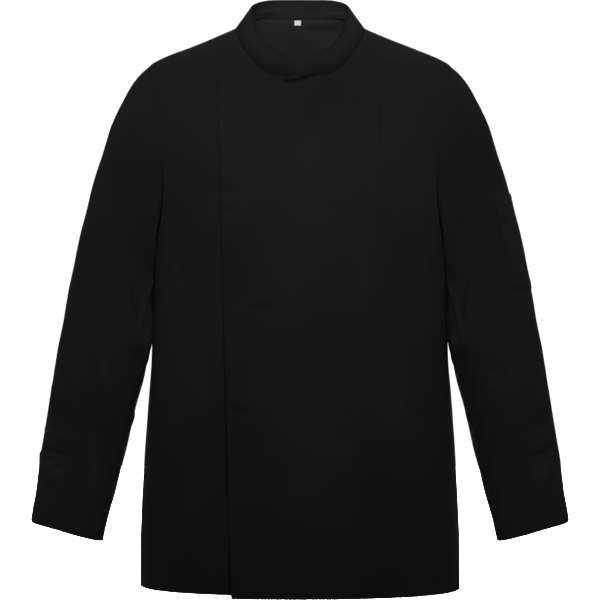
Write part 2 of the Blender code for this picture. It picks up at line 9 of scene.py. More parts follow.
import bpy
import numpy as np
from bpy.props import FloatProperty, FloatVectorProperty, PointerProperty
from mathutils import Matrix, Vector


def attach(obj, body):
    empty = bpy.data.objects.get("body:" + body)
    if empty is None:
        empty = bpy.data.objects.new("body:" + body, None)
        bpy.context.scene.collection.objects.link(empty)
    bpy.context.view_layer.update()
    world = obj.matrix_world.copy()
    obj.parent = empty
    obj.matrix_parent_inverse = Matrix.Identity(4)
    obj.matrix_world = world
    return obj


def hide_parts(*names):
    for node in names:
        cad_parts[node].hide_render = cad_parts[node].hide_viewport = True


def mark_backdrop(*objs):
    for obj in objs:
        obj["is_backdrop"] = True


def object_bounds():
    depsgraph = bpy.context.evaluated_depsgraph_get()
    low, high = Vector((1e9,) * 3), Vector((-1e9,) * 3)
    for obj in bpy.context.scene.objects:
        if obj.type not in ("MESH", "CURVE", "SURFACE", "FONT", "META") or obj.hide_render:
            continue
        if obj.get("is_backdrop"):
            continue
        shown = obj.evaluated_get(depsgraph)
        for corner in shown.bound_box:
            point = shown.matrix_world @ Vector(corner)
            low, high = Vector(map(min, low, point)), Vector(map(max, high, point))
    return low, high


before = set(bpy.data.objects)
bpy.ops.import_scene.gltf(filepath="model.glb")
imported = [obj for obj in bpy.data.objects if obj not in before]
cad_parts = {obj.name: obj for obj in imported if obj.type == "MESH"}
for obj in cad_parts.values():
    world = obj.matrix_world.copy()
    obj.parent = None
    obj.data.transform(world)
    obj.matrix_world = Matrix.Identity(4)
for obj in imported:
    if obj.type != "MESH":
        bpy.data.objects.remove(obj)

bl_info = {
    "name": "Chef Jacket",
    "version": (1, 0, 0),
    "blender": (4, 5, 0),
    "location": "3D View > Sidebar > Jacket",
    "description": "Makes a worn chef jacket in black twill with its sewing, label and studio",
    "category": "Add Mesh",
}

# ---------------------------------------------------------------- the cut

SEAM_GAP = 0.0001
LAYER_RISE = 0.0019
ROUNDNESS = 2.35
UNDERARM_Z = -0.305
SHOULDER_END_Z = -0.050
HEM_Z = {"left_front": -0.7313, "right_front": -0.7268, "back": -0.7300}
NECK_HALF_WIDTH = 0.084
NECK_DROP = 0.083
NECK_RISE = 0.018
NECK_POINTEDNESS = 1.65
NECK_BACK_CURVE = 2.5
ARMHOLE_FRONT = 0.0665
ARMHOLE_FRONT_SAG = 0.35
ARMHOLE_BACK = 0.073
ARMHOLE_BACK_SAG = 0.10
COLLAR_END_X = 0.0195
EDGE_TOP_Z = -0.105
EDGE_X = {"left_front": (0.1030, 0.0853), "right_front": (0.0975, 0.0550)}
POCKET_TOP_Z = -0.2175
POCKET_BOTTOM_Z = -0.3415
POCKET_TOP_X = 0.2465
POCKET_BOTTOM_X = 0.2676
POCKET_WIDTH = 0.082
POCKET_GAP = 0.0003
POCKET_REACH_ALONG = (0.10, 0.85)
POCKET_REACH_ROUND = (110, -75)
LABEL_WIDTH = 0.0092
LABEL_DROP = 0.0066
LABEL_X = -0.0031
LABEL_TOP_Z = 0.0172
LABEL_GAP = 0.0008

Section = namedtuple("Section", "z half_width front_depth back_depth")
BODY = (
    Section(-0.7400, 0.2078, 0.147, 0.140),
    Section(-0.6700, 0.2078, 0.145, 0.134),
    Section(-0.6236, 0.2060, 0.144, 0.129),
    Section(-0.5610, 0.2022, 0.143, 0.124),
    Section(-0.4980, 0.1980, 0.142, 0.121),
    Section(-0.4350, 0.1935, 0.141, 0.120),
    Section(-0.3140, 0.1930, 0.138, 0.124),
    Section(-0.2400, 0.1970, 0.132, 0.122),
    Section(-0.1700, 0.2000, 0.120, 0.117),
    Section(-0.1200, 0.2010, 0.105, 0.111),
    Section(-0.0830, 0.2010, 0.088, 0.103),
    Section(-0.0600, 0.2005, 0.076, 0.096),
    Section(-0.0500, 0.1965, 0.071, 0.092),
    Section(-0.0420, 0.1840, 0.066, 0.088),
    Section(-0.0260, 0.1443, 0.056, 0.080),
    Section(-0.0105, 0.1070, 0.042, 0.073),
    Section(0.0000, 0.0840, 0.030, 0.068),
    Section(0.0100, 0.0715, 0.028, 0.066),
    Section(0.0200, 0.0600, 0.026, 0.064),
)

Ring = namedtuple("Ring", "along outer_x outer_z under_x under_z front_y back_y")
SLEEVE = (
    Ring(0.00, 0.1975, -0.0500, 0.1935, -0.3050, -0.070, 0.075),
    Ring(0.04, 0.2188, -0.0635, 0.1960, -0.3180, -0.073, 0.076),
    Ring(0.08, 0.2358, -0.0891, 0.1975, -0.3330, -0.076, 0.077),
    Ring(0.14, 0.2446, -0.1205, 0.1980, -0.3500, -0.078, 0.078),
    Ring(0.21, 0.2566, -0.1580, 0.1980, -0.3690, -0.079, 0.078),
    Ring(0.29, 0.2703, -0.2030, 0.1975, -0.3920, -0.079, 0.077),
    Ring(0.38, 0.2831, -0.2540, 0.1972, -0.4180, -0.078, 0.074),
    Ring(0.49, 0.2966, -0.3155, 0.2017, -0.4470, -0.076, 0.069),
    Ring(0.61, 0.3090, -0.3825, 0.2118, -0.4850, -0.074, 0.061),
    Ring(0.71, 0.3190, -0.4430, 0.2205, -0.5165, -0.073, 0.052),
    Ring(0.82, 0.3286, -0.5085, 0.2310, -0.5630, -0.075, 0.039),
    Ring(0.92, 0.3380, -0.5720, 0.2422, -0.6090, -0.079, 0.024),
    Ring(1.00, 0.3481, -0.6400, 0.2554, -0.6680, -0.083, 0.012),
)
SLEEVE_LENGTH = 0.60
SLEEVE_RADIUS = 0.062
SLEEVE_BLEND = 0.16
SLEEVE_CLEARANCE = 0.0022
CLEARANCE_RAMP = 0.10
SEAM_RAMP = 0.05
SLEEVE_END_TILT = 0.0015
SLEEVE_CORNER_DROP = 0.0032
SLEEVE_DROP_START = 0.85
SLEEVE_CORNER_ROUND = 0.0030
SLEEVE_CORNER_SPREAD = 0.04
SLEEVE_INNER_CORNER = 0.3
SLEEVE_ROUND_START = 0.95
ELBOW = 0.7

# Paler and darker cloth along the sleeve
Fade = namedtuple("Fade", "along tone")
SLEEVE_TONE_ALONG = (
    Fade(0.00, 1.04),
    Fade(0.10, 0.90),
    Fade(0.30, 1.07),
    Fade(0.50, 1.13),
    Fade(0.70, 1.18),
    Fade(0.86, 1.38),
    Fade(1.00, 1.40),
)

# Relative distance between rows of points along the sleeve: closest where it creases
Spacing = namedtuple("Spacing", "along rows")
ROW_SPACING = (
    Spacing(0.00, 0.75),
    Spacing(0.50, 0.85),
    Spacing(0.62, 1.10),
    Spacing(0.76, 1.00),
    Spacing(0.81, 0.48),
    Spacing(0.92, 0.48),
    Spacing(0.96, 0.90),
    Spacing(1.00, 1.00),
)
SLEEVE_FLARE = 0.25

Edge = namedtuple("Edge", "around x y z")
COLLAR_TOP = (
    Edge(0, 0.0000, -0.0750, -0.0575),
    Edge(20, 0.0240, -0.0710, -0.0320),
    Edge(40, 0.0440, -0.0580, -0.0115),
    Edge(60, 0.0590, -0.0380, 0.0085),
    Edge(80, 0.0645, -0.0160, 0.0200),
    Edge(100, 0.0650, 0.0060, 0.0273),
    Edge(120, 0.0595, 0.0260, 0.0345),
    Edge(150, 0.0360, 0.0500, 0.0418),
    Edge(180, 0.0000, 0.0580, 0.0430),
)
COLLAR_TIP_HEIGHT = 0.003

# How far the sewn neck line lies above its plain curve: by distance from the middle
Lift = namedtuple("Lift", "x front back")
NECK_LIFT = (
    Lift(-0.0195, 0.0000, 0.0015),
    Lift(-0.0100, 0.0045, 0.0015),
    Lift(0.0000, 0.0088, 0.0015),
    Lift(0.0100, 0.0106, 0.0017),
    Lift(0.0200, 0.0103, 0.0020),
    Lift(0.0300, 0.0065, 0.0026),
    Lift(0.0400, 0.0018, 0.0038),
    Lift(0.0520, 0.0000, 0.0052),
    Lift(0.0620, 0.0000, 0.0050),
    Lift(0.0740, 0.0000, 0.0024),
    Lift(0.0840, 0.0000, 0.0000),
)
NECK_LIFT_REACH = 0.030

# Share of the collar's height by which its rim dips, round the neck in degrees
Dip = namedtuple("Dip", "around share")
RIM_DIP = (
    Dip(0, 0.02),
    Dip(10, 0.14),
    Dip(20, 0.24),
    Dip(30, 0.26),
    Dip(50, 0.23),
    Dip(62, 0.10),
    Dip(78, 0.00),
    Dip(180, 0.00),
)
CROSSING_REACH = 0.043

# ---------------------------------------------------------------- folds and creases

FOLD_TAPER = 0.4
CREASE_END = 0.25

# Soft folds of the body seen from the front (side -1) or the back (side 1)
BodyFold = namedtuple("BodyFold", "side x0 z0 x1 z1 half_width height")
BODY_FOLDS = (
    BodyFold(-1, 0.150, -0.310, 0.118, -0.400, 0.022, 0.0030),
    BodyFold(-1, -0.152, -0.308, -0.116, -0.410, 0.022, 0.0030),
    BodyFold(-1, 0.160, -0.430, 0.168, -0.720, 0.034, 0.0025),
    BodyFold(-1, -0.158, -0.450, -0.166, -0.720, 0.034, 0.0025),
    BodyFold(1, 0.148, -0.290, 0.090, -0.400, 0.026, 0.0040),
    BodyFold(1, -0.150, -0.290, -0.096, -0.410, 0.026, 0.0040),
    BodyFold(1, 0.070, -0.440, 0.082, -0.720, 0.036, 0.0035),
    BodyFold(1, -0.064, -0.460, -0.080, -0.720, 0.036, 0.0035),
)

# Soft folds of a sleeve: along it (0 to 1) and round it in degrees, 0 outside, 90 in front
SleeveFold = namedtuple("SleeveFold", "along0 round0 along1 round1 half_width height")
LEFT_SLEEVE_FOLDS = (
    SleeveFold(0.76, 10, 0.80, 120, 0.018, 0.0030),
    SleeveFold(0.82, 20, 0.79, 130, 0.016, -0.0013),
    SleeveFold(0.86, 0, 0.84, 100, 0.018, 0.0025),
    SleeveFold(0.62, 100, 0.70, 190, 0.022, 0.0030),
    SleeveFold(0.66, 250, 0.72, 330, 0.022, 0.0030),
    SleeveFold(0.20, 130, 0.46, 165, 0.018, 0.0035),
    SleeveFold(0.22, 230, 0.44, 200, 0.018, 0.0030),
)
RIGHT_SLEEVE_FOLDS = (
    SleeveFold(0.75, 0, 0.77, 130, 0.018, 0.0030),
    SleeveFold(0.80, 10, 0.80, 110, 0.016, -0.0013),
    SleeveFold(0.85, 20, 0.86, 90, 0.018, 0.0025),
    SleeveFold(0.64, 110, 0.71, 200, 0.022, 0.0030),
    SleeveFold(0.65, 240, 0.70, 330, 0.022, 0.0030),
    SleeveFold(0.20, 125, 0.47, 165, 0.018, 0.0035),
    SleeveFold(0.23, 235, 0.45, 200, 0.018, 0.0030),
)

# Fine creases, seen from the front or the back: a line that bows aside, its half width
# and its height (below 0 for a trough)
Crease = namedtuple("Crease", "x0 z0 x1 z1 bow half_width height")
LEFT_FRONT_CREASES = (
    Crease(-0.101, -0.124, -0.090, -0.127, 0.000, 0.0028, -0.0011),
    Crease(-0.101, -0.130, -0.092, -0.136, 0.001, 0.0028, 0.0010),
    Crease(-0.100, -0.213, -0.080, -0.219, 0.002, 0.0045, -0.0018),
    Crease(-0.099, -0.222, -0.083, -0.231, -0.002, 0.0042, 0.0016),
    Crease(-0.099, -0.239, -0.076, -0.245, 0.001, 0.0030, -0.0013),
    Crease(-0.066, -0.361, -0.032, -0.363, 0.001, 0.0032, -0.0016),
    Crease(-0.060, -0.353, -0.034, -0.354, 0.001, 0.0036, 0.0010),
    Crease(-0.088, -0.487, -0.061, -0.497, 0.001, 0.0038, -0.0016),
    Crease(-0.088, -0.500, -0.066, -0.504, 0.000, 0.0038, 0.0011),
    Crease(0.054, -0.078, 0.000, -0.142, 0.004, 0.0110, -0.0011),
    Crease(0.066, -0.072, 0.066, -0.100, 0.000, 0.0026, 0.0009),
    Crease(0.0985, -0.092, 0.1036, -0.140, -0.0012, 0.0020, -0.0014),
    Crease(0.1032, -0.126, 0.1042, -0.172, 0.0005, 0.0020, -0.0013),
    Crease(0.1062, -0.112, 0.1070, -0.172, 0.0005, 0.0018, 0.0011),
    Crease(0.0915, -0.150, 0.0850, -0.300, 0.0008, 0.0050, 0.0004),
    Crease(0.0870, -0.260, 0.0735, -0.420, 0.0010, 0.0050, 0.0004),
    Crease(0.0760, -0.380, 0.0590, -0.570, 0.0010, 0.0050, 0.0004),
    Crease(0.0640, -0.520, 0.0525, -0.700, 0.0010, 0.0050, 0.0004),
    Crease(0.152, -0.290, 0.136, -0.368, 0.003, 0.0052, -0.0011),
    Crease(0.160, -0.300, 0.149, -0.372, 0.002, 0.0056, 0.0010),
    Crease(0.032, -0.140, 0.004, -0.190, -0.003, 0.0120, 0.0005),
    Crease(0.042, -0.470, 0.070, -0.500, 0.003, 0.0080, -0.0009),
    Crease(0.022, -0.520, 0.060, -0.560, -0.003, 0.0100, 0.0012),
    Crease(0.128, -0.440, 0.112, -0.520, -0.004, 0.0120, 0.0016),
)
RIGHT_FRONT_CREASES = (
    Crease(-0.154, -0.290, -0.138, -0.368, -0.003, 0.0052, -0.0011),
    Crease(-0.162, -0.300, -0.150, -0.372, -0.002, 0.0056, 0.0010),
    Crease(-0.106, -0.070, -0.104, -0.100, 0.000, 0.0030, -0.0011),
    Crease(-0.130, -0.420, -0.110, -0.500, 0.004, 0.0120, 0.0014),
    Crease(-0.120, -0.560, -0.135, -0.650, 0.004, 0.0120, 0.0010),
)
BACK_CREASES = (
    Crease(0.150, -0.200, 0.060, -0.150, 0.006, 0.0120, -0.0020),
    Crease(-0.150, -0.205, -0.070, -0.160, -0.006, 0.0120, -0.0020),
    Crease(0.130, -0.235, 0.060, -0.200, 0.005, 0.0110, 0.0018),
    Crease(-0.130, -0.240, -0.055, -0.190, -0.005, 0.0110, 0.0018),
    Crease(0.160, -0.290, 0.110, -0.330, 0.004, 0.0080, 0.0020),
    Crease(-0.160, -0.285, -0.105, -0.335, -0.004, 0.0080, 0.0020),
    Crease(0.155, -0.315, 0.115, -0.350, 0.004, 0.0070, -0.0016),
    Crease(-0.155, -0.310, -0.118, -0.352, -0.004, 0.0070, -0.0016),
    Crease(-0.040, -0.052, 0.046, -0.056, 0.004, 0.0060, -0.0012),
    Crease(0.002, 0.0070, 0.061, 0.0080, 0.001, 0.0034, 0.0014),
    Crease(0.020, -0.420, 0.000, -0.560, 0.008, 0.0150, 0.0020),
    Crease(-0.060, -0.480, -0.085, -0.620, -0.006, 0.0140, -0.0016),
    Crease(0.090, -0.500, 0.110, -0.640, 0.006, 0.0140, -0.0016),
)
RIGHT_SLEEVE_FRONT = (
    Crease(0.2190, -0.329, 0.2107, -0.383, 0.001, 0.0026, -0.0018),
    Crease(0.1865, -0.322, 0.2074, -0.403, -0.0045, 0.0026, 0.0036),
    Crease(0.1958, -0.392, 0.2030, -0.448, 0.000, 0.0032, 0.0036),
    Crease(0.3330, -0.5230, 0.3150, -0.5260, 0.000, 0.0022, 0.0016),
    Crease(0.3090, -0.5260, 0.2990, -0.5330, 0.000, 0.0018, 0.0016),
    Crease(0.2990, -0.5335, 0.2760, -0.5345, 0.001, 0.0018, 0.0014),
    Crease(0.3290, -0.5320, 0.2950, -0.5400, 0.001, 0.0030, -0.0010),
    Crease(0.3420, -0.5490, 0.3040, -0.5530, 0.001, 0.0028, -0.0016),
    Crease(0.3400, -0.5540, 0.3110, -0.5900, 0.003, 0.0060, 0.0024),
    Crease(0.3400, -0.5535, 0.2990, -0.5590, 0.000, 0.0030, 0.0024),
    Crease(0.2975, -0.5600, 0.3110, -0.5900, -0.002, 0.0050, 0.0018),
    Crease(0.3190, -0.5600, 0.3120, -0.5860, 0.000, 0.0080, 0.0016),
    Crease(0.3170, -0.5700, 0.3020, -0.5720, 0.000, 0.0018, -0.0014),
    Crease(0.3150, -0.5775, 0.3010, -0.5790, 0.000, 0.0026, 0.0012),
    Crease(0.2800, -0.5500, 0.2670, -0.5510, 0.000, 0.0024, 0.0013),
    Crease(0.2800, -0.5650, 0.2670, -0.5650, 0.000, 0.0024, 0.0012),
    Crease(0.2890, -0.5665, 0.2790, -0.5675, 0.000, 0.0024, -0.0010),
    Crease(0.2690, -0.5150, 0.2630, -0.5950, 0.001, 0.0050, 0.0020),
    Crease(0.2545, -0.4280, 0.2480, -0.4660, 0.002, 0.0055, 0.0020),
    Crease(0.2950, -0.4200, 0.2800, -0.4700, 0.002, 0.0080, 0.0014),
    Crease(0.2440, -0.5150, 0.2400, -0.6000, 0.002, 0.0100, -0.0008),
)
LEFT_SLEEVE_FRONT = (
    Crease(0.2197, -0.315, 0.2082, -0.388, 0.002, 0.0026, -0.0018),
    Crease(0.1865, -0.322, 0.2074, -0.403, -0.0045, 0.0026, 0.0036),
    Crease(0.1958, -0.392, 0.2030, -0.448, 0.000, 0.0032, 0.0036),
    Crease(0.3230, -0.5235, 0.3030, -0.5270, 0.001, 0.0024, 0.0018),
    Crease(0.2935, -0.5325, 0.2870, -0.5330, 0.000, 0.0018, 0.0012),
    Crease(0.3150, -0.5390, 0.3020, -0.5430, 0.000, 0.0030, 0.0012),
    Crease(0.3180, -0.5440, 0.3080, -0.5480, 0.000, 0.0024, -0.0012),
    Crease(0.3300, -0.5500, 0.2900, -0.5570, 0.001, 0.0028, -0.0014),
    Crease(0.3290, -0.5545, 0.3050, -0.5940, 0.003, 0.0060, 0.0024),
    Crease(0.3290, -0.5535, 0.2970, -0.5610, 0.000, 0.0030, 0.0024),
    Crease(0.2930, -0.5630, 0.3050, -0.5940, -0.002, 0.0050, 0.0018),
    Crease(0.3120, -0.5620, 0.3060, -0.5880, 0.000, 0.0080, 0.0016),
    Crease(0.2610, -0.5650, 0.2740, -0.5655, 0.000, 0.0018, 0.0018),
    Crease(0.2730, -0.5655, 0.2870, -0.5715, 0.000, 0.0018, 0.0014),
    Crease(0.2750, -0.5680, 0.3060, -0.5755, 0.001, 0.0020, -0.0014),
    Crease(0.2710, -0.5320, 0.2650, -0.5330, 0.000, 0.0024, 0.0011),
    Crease(0.2660, -0.5480, 0.2600, -0.5490, 0.000, 0.0024, 0.0011),
    Crease(0.2410, -0.4455, 0.2570, -0.4710, 0.002, 0.0055, 0.0020),
    Crease(0.2720, -0.4400, 0.2660, -0.4800, -0.002, 0.0070, 0.0014),
    Crease(0.2430, -0.5250, 0.2410, -0.6000, 0.002, 0.0100, -0.0006),
)
SLEEVE_BACK = (
    Crease(0.3100, -0.360, 0.2300, -0.400, 0.006, 0.0080, -0.0028),
    Crease(0.3000, -0.395, 0.2300, -0.425, -0.004, 0.0070, 0.0026),
    Crease(0.3200, -0.430, 0.2500, -0.450, 0.004, 0.0070, -0.0026),
    Crease(0.3250, -0.455, 0.2600, -0.480, -0.004, 0.0070, 0.0022),
    Crease(0.2150, -0.300, 0.2500, -0.350, 0.003, 0.0070, 0.0022),
    Crease(0.3300, -0.540, 0.2700, -0.552, 0.003, 0.0050, -0.0020),
    Crease(0.3350, -0.552, 0.2800, -0.560, 0.002, 0.0050, 0.0018),
    Crease(0.2350, -0.180, 0.2200, -0.270, 0.004, 0.0080, 0.0018),
)
POCKET_CREASES = (
    Crease(0.2450, -0.2390, 0.2480, -0.2470, 0.000, 0.0022, -0.0013),
    Crease(0.2450, -0.2490, 0.2620, -0.2392, 0.000, 0.0022, 0.0015),
    Crease(0.2500, -0.2645, 0.2630, -0.2490, 0.000, 0.0022, -0.0017),
    Crease(0.2640, -0.262, 0.2720, -0.302, 0.001, 0.0070, 0.0016),
    Crease(0.2560, -0.2265, 0.2720, -0.2245, 0.001, 0.0022, 0.0014),
)

# Painted light (above 0) and painted shade in soft bands inside the neck and the collar, laid out like
# creases
BACK_NECK_TONES = (
    Crease(0.002, 0.0150, 0.063, 0.0145, 0.000, 0.0018, 0.95),
    Crease(-0.060, 0.0158, -0.004, 0.0162, 0.000, 0.0016, 0.60),
    Crease(0.002, 0.0088, 0.062, 0.0066, 0.001, 0.0044, -0.85),
    Crease(-0.020, -0.0100, 0.018, -0.0150, 0.003, 0.0100, -0.25),
    Crease(0.030, -0.0050, 0.050, -0.0120, 0.002, 0.0080, 0.25),
)
COLLAR_INNER_TONES = (
    Crease(-0.052, 0.0290, -0.018, 0.0340, 0.001, 0.0030, 0.60),
    Crease(-0.064, 0.0200, -0.032, 0.0270, 0.002, 0.0042, -0.60),
    Crease(0.034, 0.0265, 0.064, 0.0250, 0.001, 0.0026, 0.55),
    Crease(0.030, 0.0212, 0.062, 0.0200, 0.000, 0.0020, -0.55),
    Crease(0.002, 0.0330, 0.030, 0.0310, 0.001, 0.0034, -0.35),
)

# ---------------------------------------------------------------- settings


def size(name, what, default):
    return FloatProperty(name=name, description=what, default=default, subtype="DISTANCE",
                         unit="LENGTH", precision=5)


def colour(name, what, default):
    return FloatVectorProperty(name=name, description=what, default=default, subtype="COLOR",
                               size=3, min=0.0, max=1.0)


class JacketSizes(bpy.types.PropertyGroup):
    """Thicknesses of the cloth and sizes of the sewing."""

    cloth: size("Cloth", "Thickness of one layer of twill", 0.0011)
    collar_cloth: size("Collar", "Thickness of the collar band", 0.0020)
    label_cloth: size("Label", "Thickness of the label tape", 0.0007)
    hem: size("Hem", "Depth of the turned hem of the body", 0.020)
    cuff_hem: size("Cuff hem", "Depth of the turned hem of the sleeves", 0.025)
    hem_extra: size("Hem layer", "What the turned layer adds to the thickness", 0.0008)
    edge_inset: size("Edge stitching", "Distance of topstitching from an edge", 0.0020)
    stitch_pitch: size("Stitch pitch", "Distance from one stitch to the next", 0.0028)
    stitch_length: size("Stitch length", "Length of one stitch that shows", 0.0022)
    thread: size("Thread", "Thickness of the sewing thread", 0.00036)


class JacketFinish(bpy.types.PropertyGroup):
    """Colours and weave of the cloth, thread and label."""

    cloth: colour("Cloth", "Colour of the black twill", (0.0060, 0.0060, 0.0060))
    thread: colour("Thread", "Colour of the black thread", (0.0042, 0.0042, 0.0042))
    label: colour("Label", "Colour of the bare label", (0.50, 0.50, 0.49))
    wale: size("Wale", "Distance between two diagonal ribs of the twill", 0.0009)


class JacketStage(bpy.types.PropertyGroup):
    """Camera, floor and light."""

    distance: size("Camera distance", "How far in front of the jacket the camera stands", 3.40)
    height: size("Camera height", "Level of the camera in the jacket's frame", -0.356)
    view: size("View", "Width of what the camera sees in the jacket's middle plane", 0.786)
    floor: size("Floor", "Level of the floor in the jacket's frame", -1.15)
    sky: FloatProperty(name="Fill light", description="Brightness all round", default=0.40)
    backdrop: FloatProperty(name="Backdrop", description="Brightness behind the jacket", default=1.03)
    key: FloatProperty(name="Key light", description="Power of the large softbox", default=6.8,
                       subtype="POWER", unit="POWER")
    floor_light: FloatProperty(name="Floor light", description="Power of the light on the floor behind",
                               default=900.0, subtype="POWER", unit="POWER")


# ---------------------------------------------------------------- curves and surfaces

TURN = 2 * math.pi
FINE_STEPS = 600
SMALL_STEP = 0.0005
TINY = 1e-6


def smooth_step(x):
    """Rise smoothly from 0 to 1 as x goes from 0 to 1."""
    x = np.clip(x, 0.0, 1.0)
    return x * x * (3.0 - 2.0 * x)


# A level at which something starts, and the height over which it grows below that
Below = namedtuple("Below", "level ramp")


def below(z, start):
    """0 above a level, rising smoothly to 1 below it."""
    return smooth_step((start.level - z) / start.ramp)


def hump(x, middle, reach):
    """1 at a middle, fading away on both sides of it."""
    return np.exp(-(((x - middle) / reach) ** 2))


def table_curve(rows):
    """Return a function that reads all columns after the first smoothly, without overshoot."""
    table = np.array(rows, dtype=float)
    knots = table[:, 0]
    values = table[:, 1:]
    width = np.diff(knots)[:, None]
    slope = np.diff(values, axis=0) / width
    product = slope[:-1] * slope[1:]
    total = slope[:-1] + slope[1:]
    inner = np.where(product > 0, 2.0 * product / np.where(total == 0, 1.0, total), 0.0)
    tangent = np.vstack([slope[:1], inner, slope[-1:]])

    def read(at):
        at = np.clip(np.asarray(at, dtype=float), knots[0], knots[-1])
        k = np.clip(np.searchsorted(knots, at) - 1, 0, len(knots) - 2)
        f = ((at - knots[k]) / width[k, 0])[..., None]
        step = width[k]
        return (
            (1 + 2 * f) * (1 - f) ** 2 * values[k]
            + f * (1 - f) ** 2 * step * tangent[k]
            + f * f * (3 - 2 * f) * values[k + 1]
            + f * f * (f - 1) * step * tangent[k + 1]
        )

    return read


body_sizes = table_curve(BODY)
sleeve_sizes = table_curve(SLEEVE)
collar_top = table_curve(COLLAR_TOP)
neck_lift = table_curve(NECK_LIFT)
rim_dip = table_curve(RIM_DIP)
row_spacing = table_curve(ROW_SPACING)
sleeve_tone_along = table_curve(SLEEVE_TONE_ALONG)


def unit(vectors):
    return vectors / np.linalg.norm(vectors, axis=-1, keepdims=True)


def mirrored(points):
    return points * np.array([-1.0, 1.0, 1.0])


def depth_at(y, sizes):
    """Depth of the body section on the side where y lies."""
    return np.where(y < 0, sizes[..., 1], sizes[..., 2])


def onto_body(points):
    """Move points level, out or in, onto the body's surface."""
    x, y, z = np.moveaxis(points, -1, 0)
    sizes = body_sizes(z)
    reach = np.abs(x / sizes[..., 0]) ** ROUNDNESS
    reach = (reach + np.abs(y / depth_at(y, sizes)) ** ROUNDNESS) ** (1 / ROUNDNESS)
    return np.stack([x / reach, y / reach, z], axis=-1)


def body_normal(points):
    """Outward normal of the body's surface."""
    x, y, z = np.moveaxis(points, -1, 0)
    sizes = body_sizes(z)
    change = (body_sizes(z + SMALL_STEP) - body_sizes(z - SMALL_STEP)) / (2 * SMALL_STEP)
    width = sizes[..., 0]
    depth = depth_at(y, sizes)
    across = np.abs(x / width)
    through = np.abs(y / depth)
    nx = across ** (ROUNDNESS - 1) * np.sign(x) / width
    ny = through ** (ROUNDNESS - 1) * np.sign(y) / depth
    nz = -across**ROUNDNESS * change[..., 0] / width
    nz = nz - through**ROUNDNESS * depth_at(y, change) / depth
    return unit(np.stack([nx, ny, nz], axis=-1))


def side_x(y, z):
    """Half width of the body at depth y and height z."""
    sizes = body_sizes(z)
    share = np.clip(np.abs(y) / depth_at(y, sizes), 0.0, 1.0)
    return sizes[..., 0] * (1 - share**ROUNDNESS) ** (1 / ROUNDNESS)


def face_y(x, z, side):
    """Depth of the body's front (side -1) or back (side 1) at x and z."""
    sizes = body_sizes(z)
    depth = sizes[..., 1] if side < 0 else sizes[..., 2]
    share = np.clip(np.abs(x) / sizes[..., 0], 0.0, 1.0)
    return side * depth * (1 - share**ROUNDNESS) ** (1 / ROUNDNESS)


def run_length(points):
    """Length along a run of points, up to each of them."""
    steps = np.linalg.norm(np.diff(points, axis=0), axis=1)
    return np.concatenate([[0.0], np.cumsum(steps)])


def even_stations(curve, count, first, last):
    """Numbers between first and last at which a curve's points are equal steps apart."""
    fine = np.linspace(first, last, FINE_STEPS)
    length = run_length(curve(fine))
    return np.interp(np.linspace(0, length[-1], count + 1), length, fine)


def even(curve, count, first=0.0, last=1.0):
    """Points at equal steps along a curve that is a function of one number."""
    return curve(even_stations(curve, count, first, last))


def neck_line(around):
    """Neck seam at an angle in degrees: 0 front middle, 90 shoulder, 180 back middle."""
    turn = np.radians(around)
    sine = np.abs(np.sin(turn))
    cosine = np.abs(np.cos(turn))
    power = 2 / NECK_POINTEDNESS
    front = np.abs(around) <= 90
    x = NECK_HALF_WIDTH * np.sign(turn) * np.where(front, sine**power, sine)
    z_back = NECK_RISE * (1 - sine**NECK_BACK_CURVE)
    z = np.where(front, -NECK_DROP * cosine**power, z_back)
    y = np.where(front, face_y(x, z, -1), face_y(x, z, 1))
    return np.stack([x, y, z], axis=-1)


def sewn_neck(around):
    """Neck seam as it is sewn: a little flatter at the back and blunter at the front."""
    points = neck_line(around)
    front = np.abs(around) <= 90
    x = points[..., 0]
    lift = neck_lift(x)
    z = points[..., 2] + np.where(front, lift[..., 0], lift[..., 1])
    y = np.where(front, face_y(x, z, -1), points[..., 1])
    return np.stack([x, y, z], axis=-1)


def shoulder_line(share):
    """Shoulder seam from the neck (0) to the armhole (1), along the ridge of the body."""
    z = SHOULDER_END_Z * share
    return np.stack([body_sizes(z)[..., 0], 0 * z, z], axis=-1)


def armhole_line(turn, side):
    """Armhole seam on the front (side -1) or back (side 1): 0 at the shoulder, pi below."""
    middle = (SHOULDER_END_Z + UNDERARM_Z) / 2
    z = middle + (SHOULDER_END_Z - UNDERARM_Z) / 2 * np.cos(turn)
    reach, sag = (ARMHOLE_FRONT, ARMHOLE_FRONT_SAG) if side < 0 else (ARMHOLE_BACK, ARMHOLE_BACK_SAG)
    y = side * reach * np.sin(turn) * (1 - sag * np.cos(turn))
    return np.stack([side_x(y, z), y, z], axis=-1)


# Mesh steps
EDGE_STEPS = 42
END_STEPS = 6
NECK_STEPS = 44
SHOULDER_STEPS = 48
BACK_NECK_STEPS = 36
ARMHOLE_STEPS = 84
SIDE_STEPS = 138
SLEEVE_STEPS = 256
COLLAR_STEPS = 18
COLLAR_END_STEPS = 12
COLLAR_FRONT_STEPS = 64
COLLAR_BACK_STEPS = 48
POCKET_STEPS_DOWN = 84
POCKET_STEPS_ROUND = 60
LABEL_STEPS = 12


def armhole_turns(side):
    """Turns of the armhole stations, from the underarm (pi) up to the shoulder (0)."""
    return even_stations(lambda turn: armhole_line(turn, side), ARMHOLE_STEPS, math.pi, 0.0)


def armhole_edge(side):
    return armhole_line(armhole_turns(side), side)


def edge_x(node, z):
    """Distance of a front's free edge beyond the middle at height z."""
    top, bottom = EDGE_X[node]
    return top + (bottom - top) * (EDGE_TOP_Z - z) / (EDGE_TOP_Z - HEM_Z[node])


def neck_height(x):
    """Height of the front neck seam at x."""
    share = (abs(x) / NECK_HALF_WIDTH) ** NECK_POINTEDNESS
    return -NECK_DROP * (1 - share) ** (1 / NECK_POINTEDNESS)


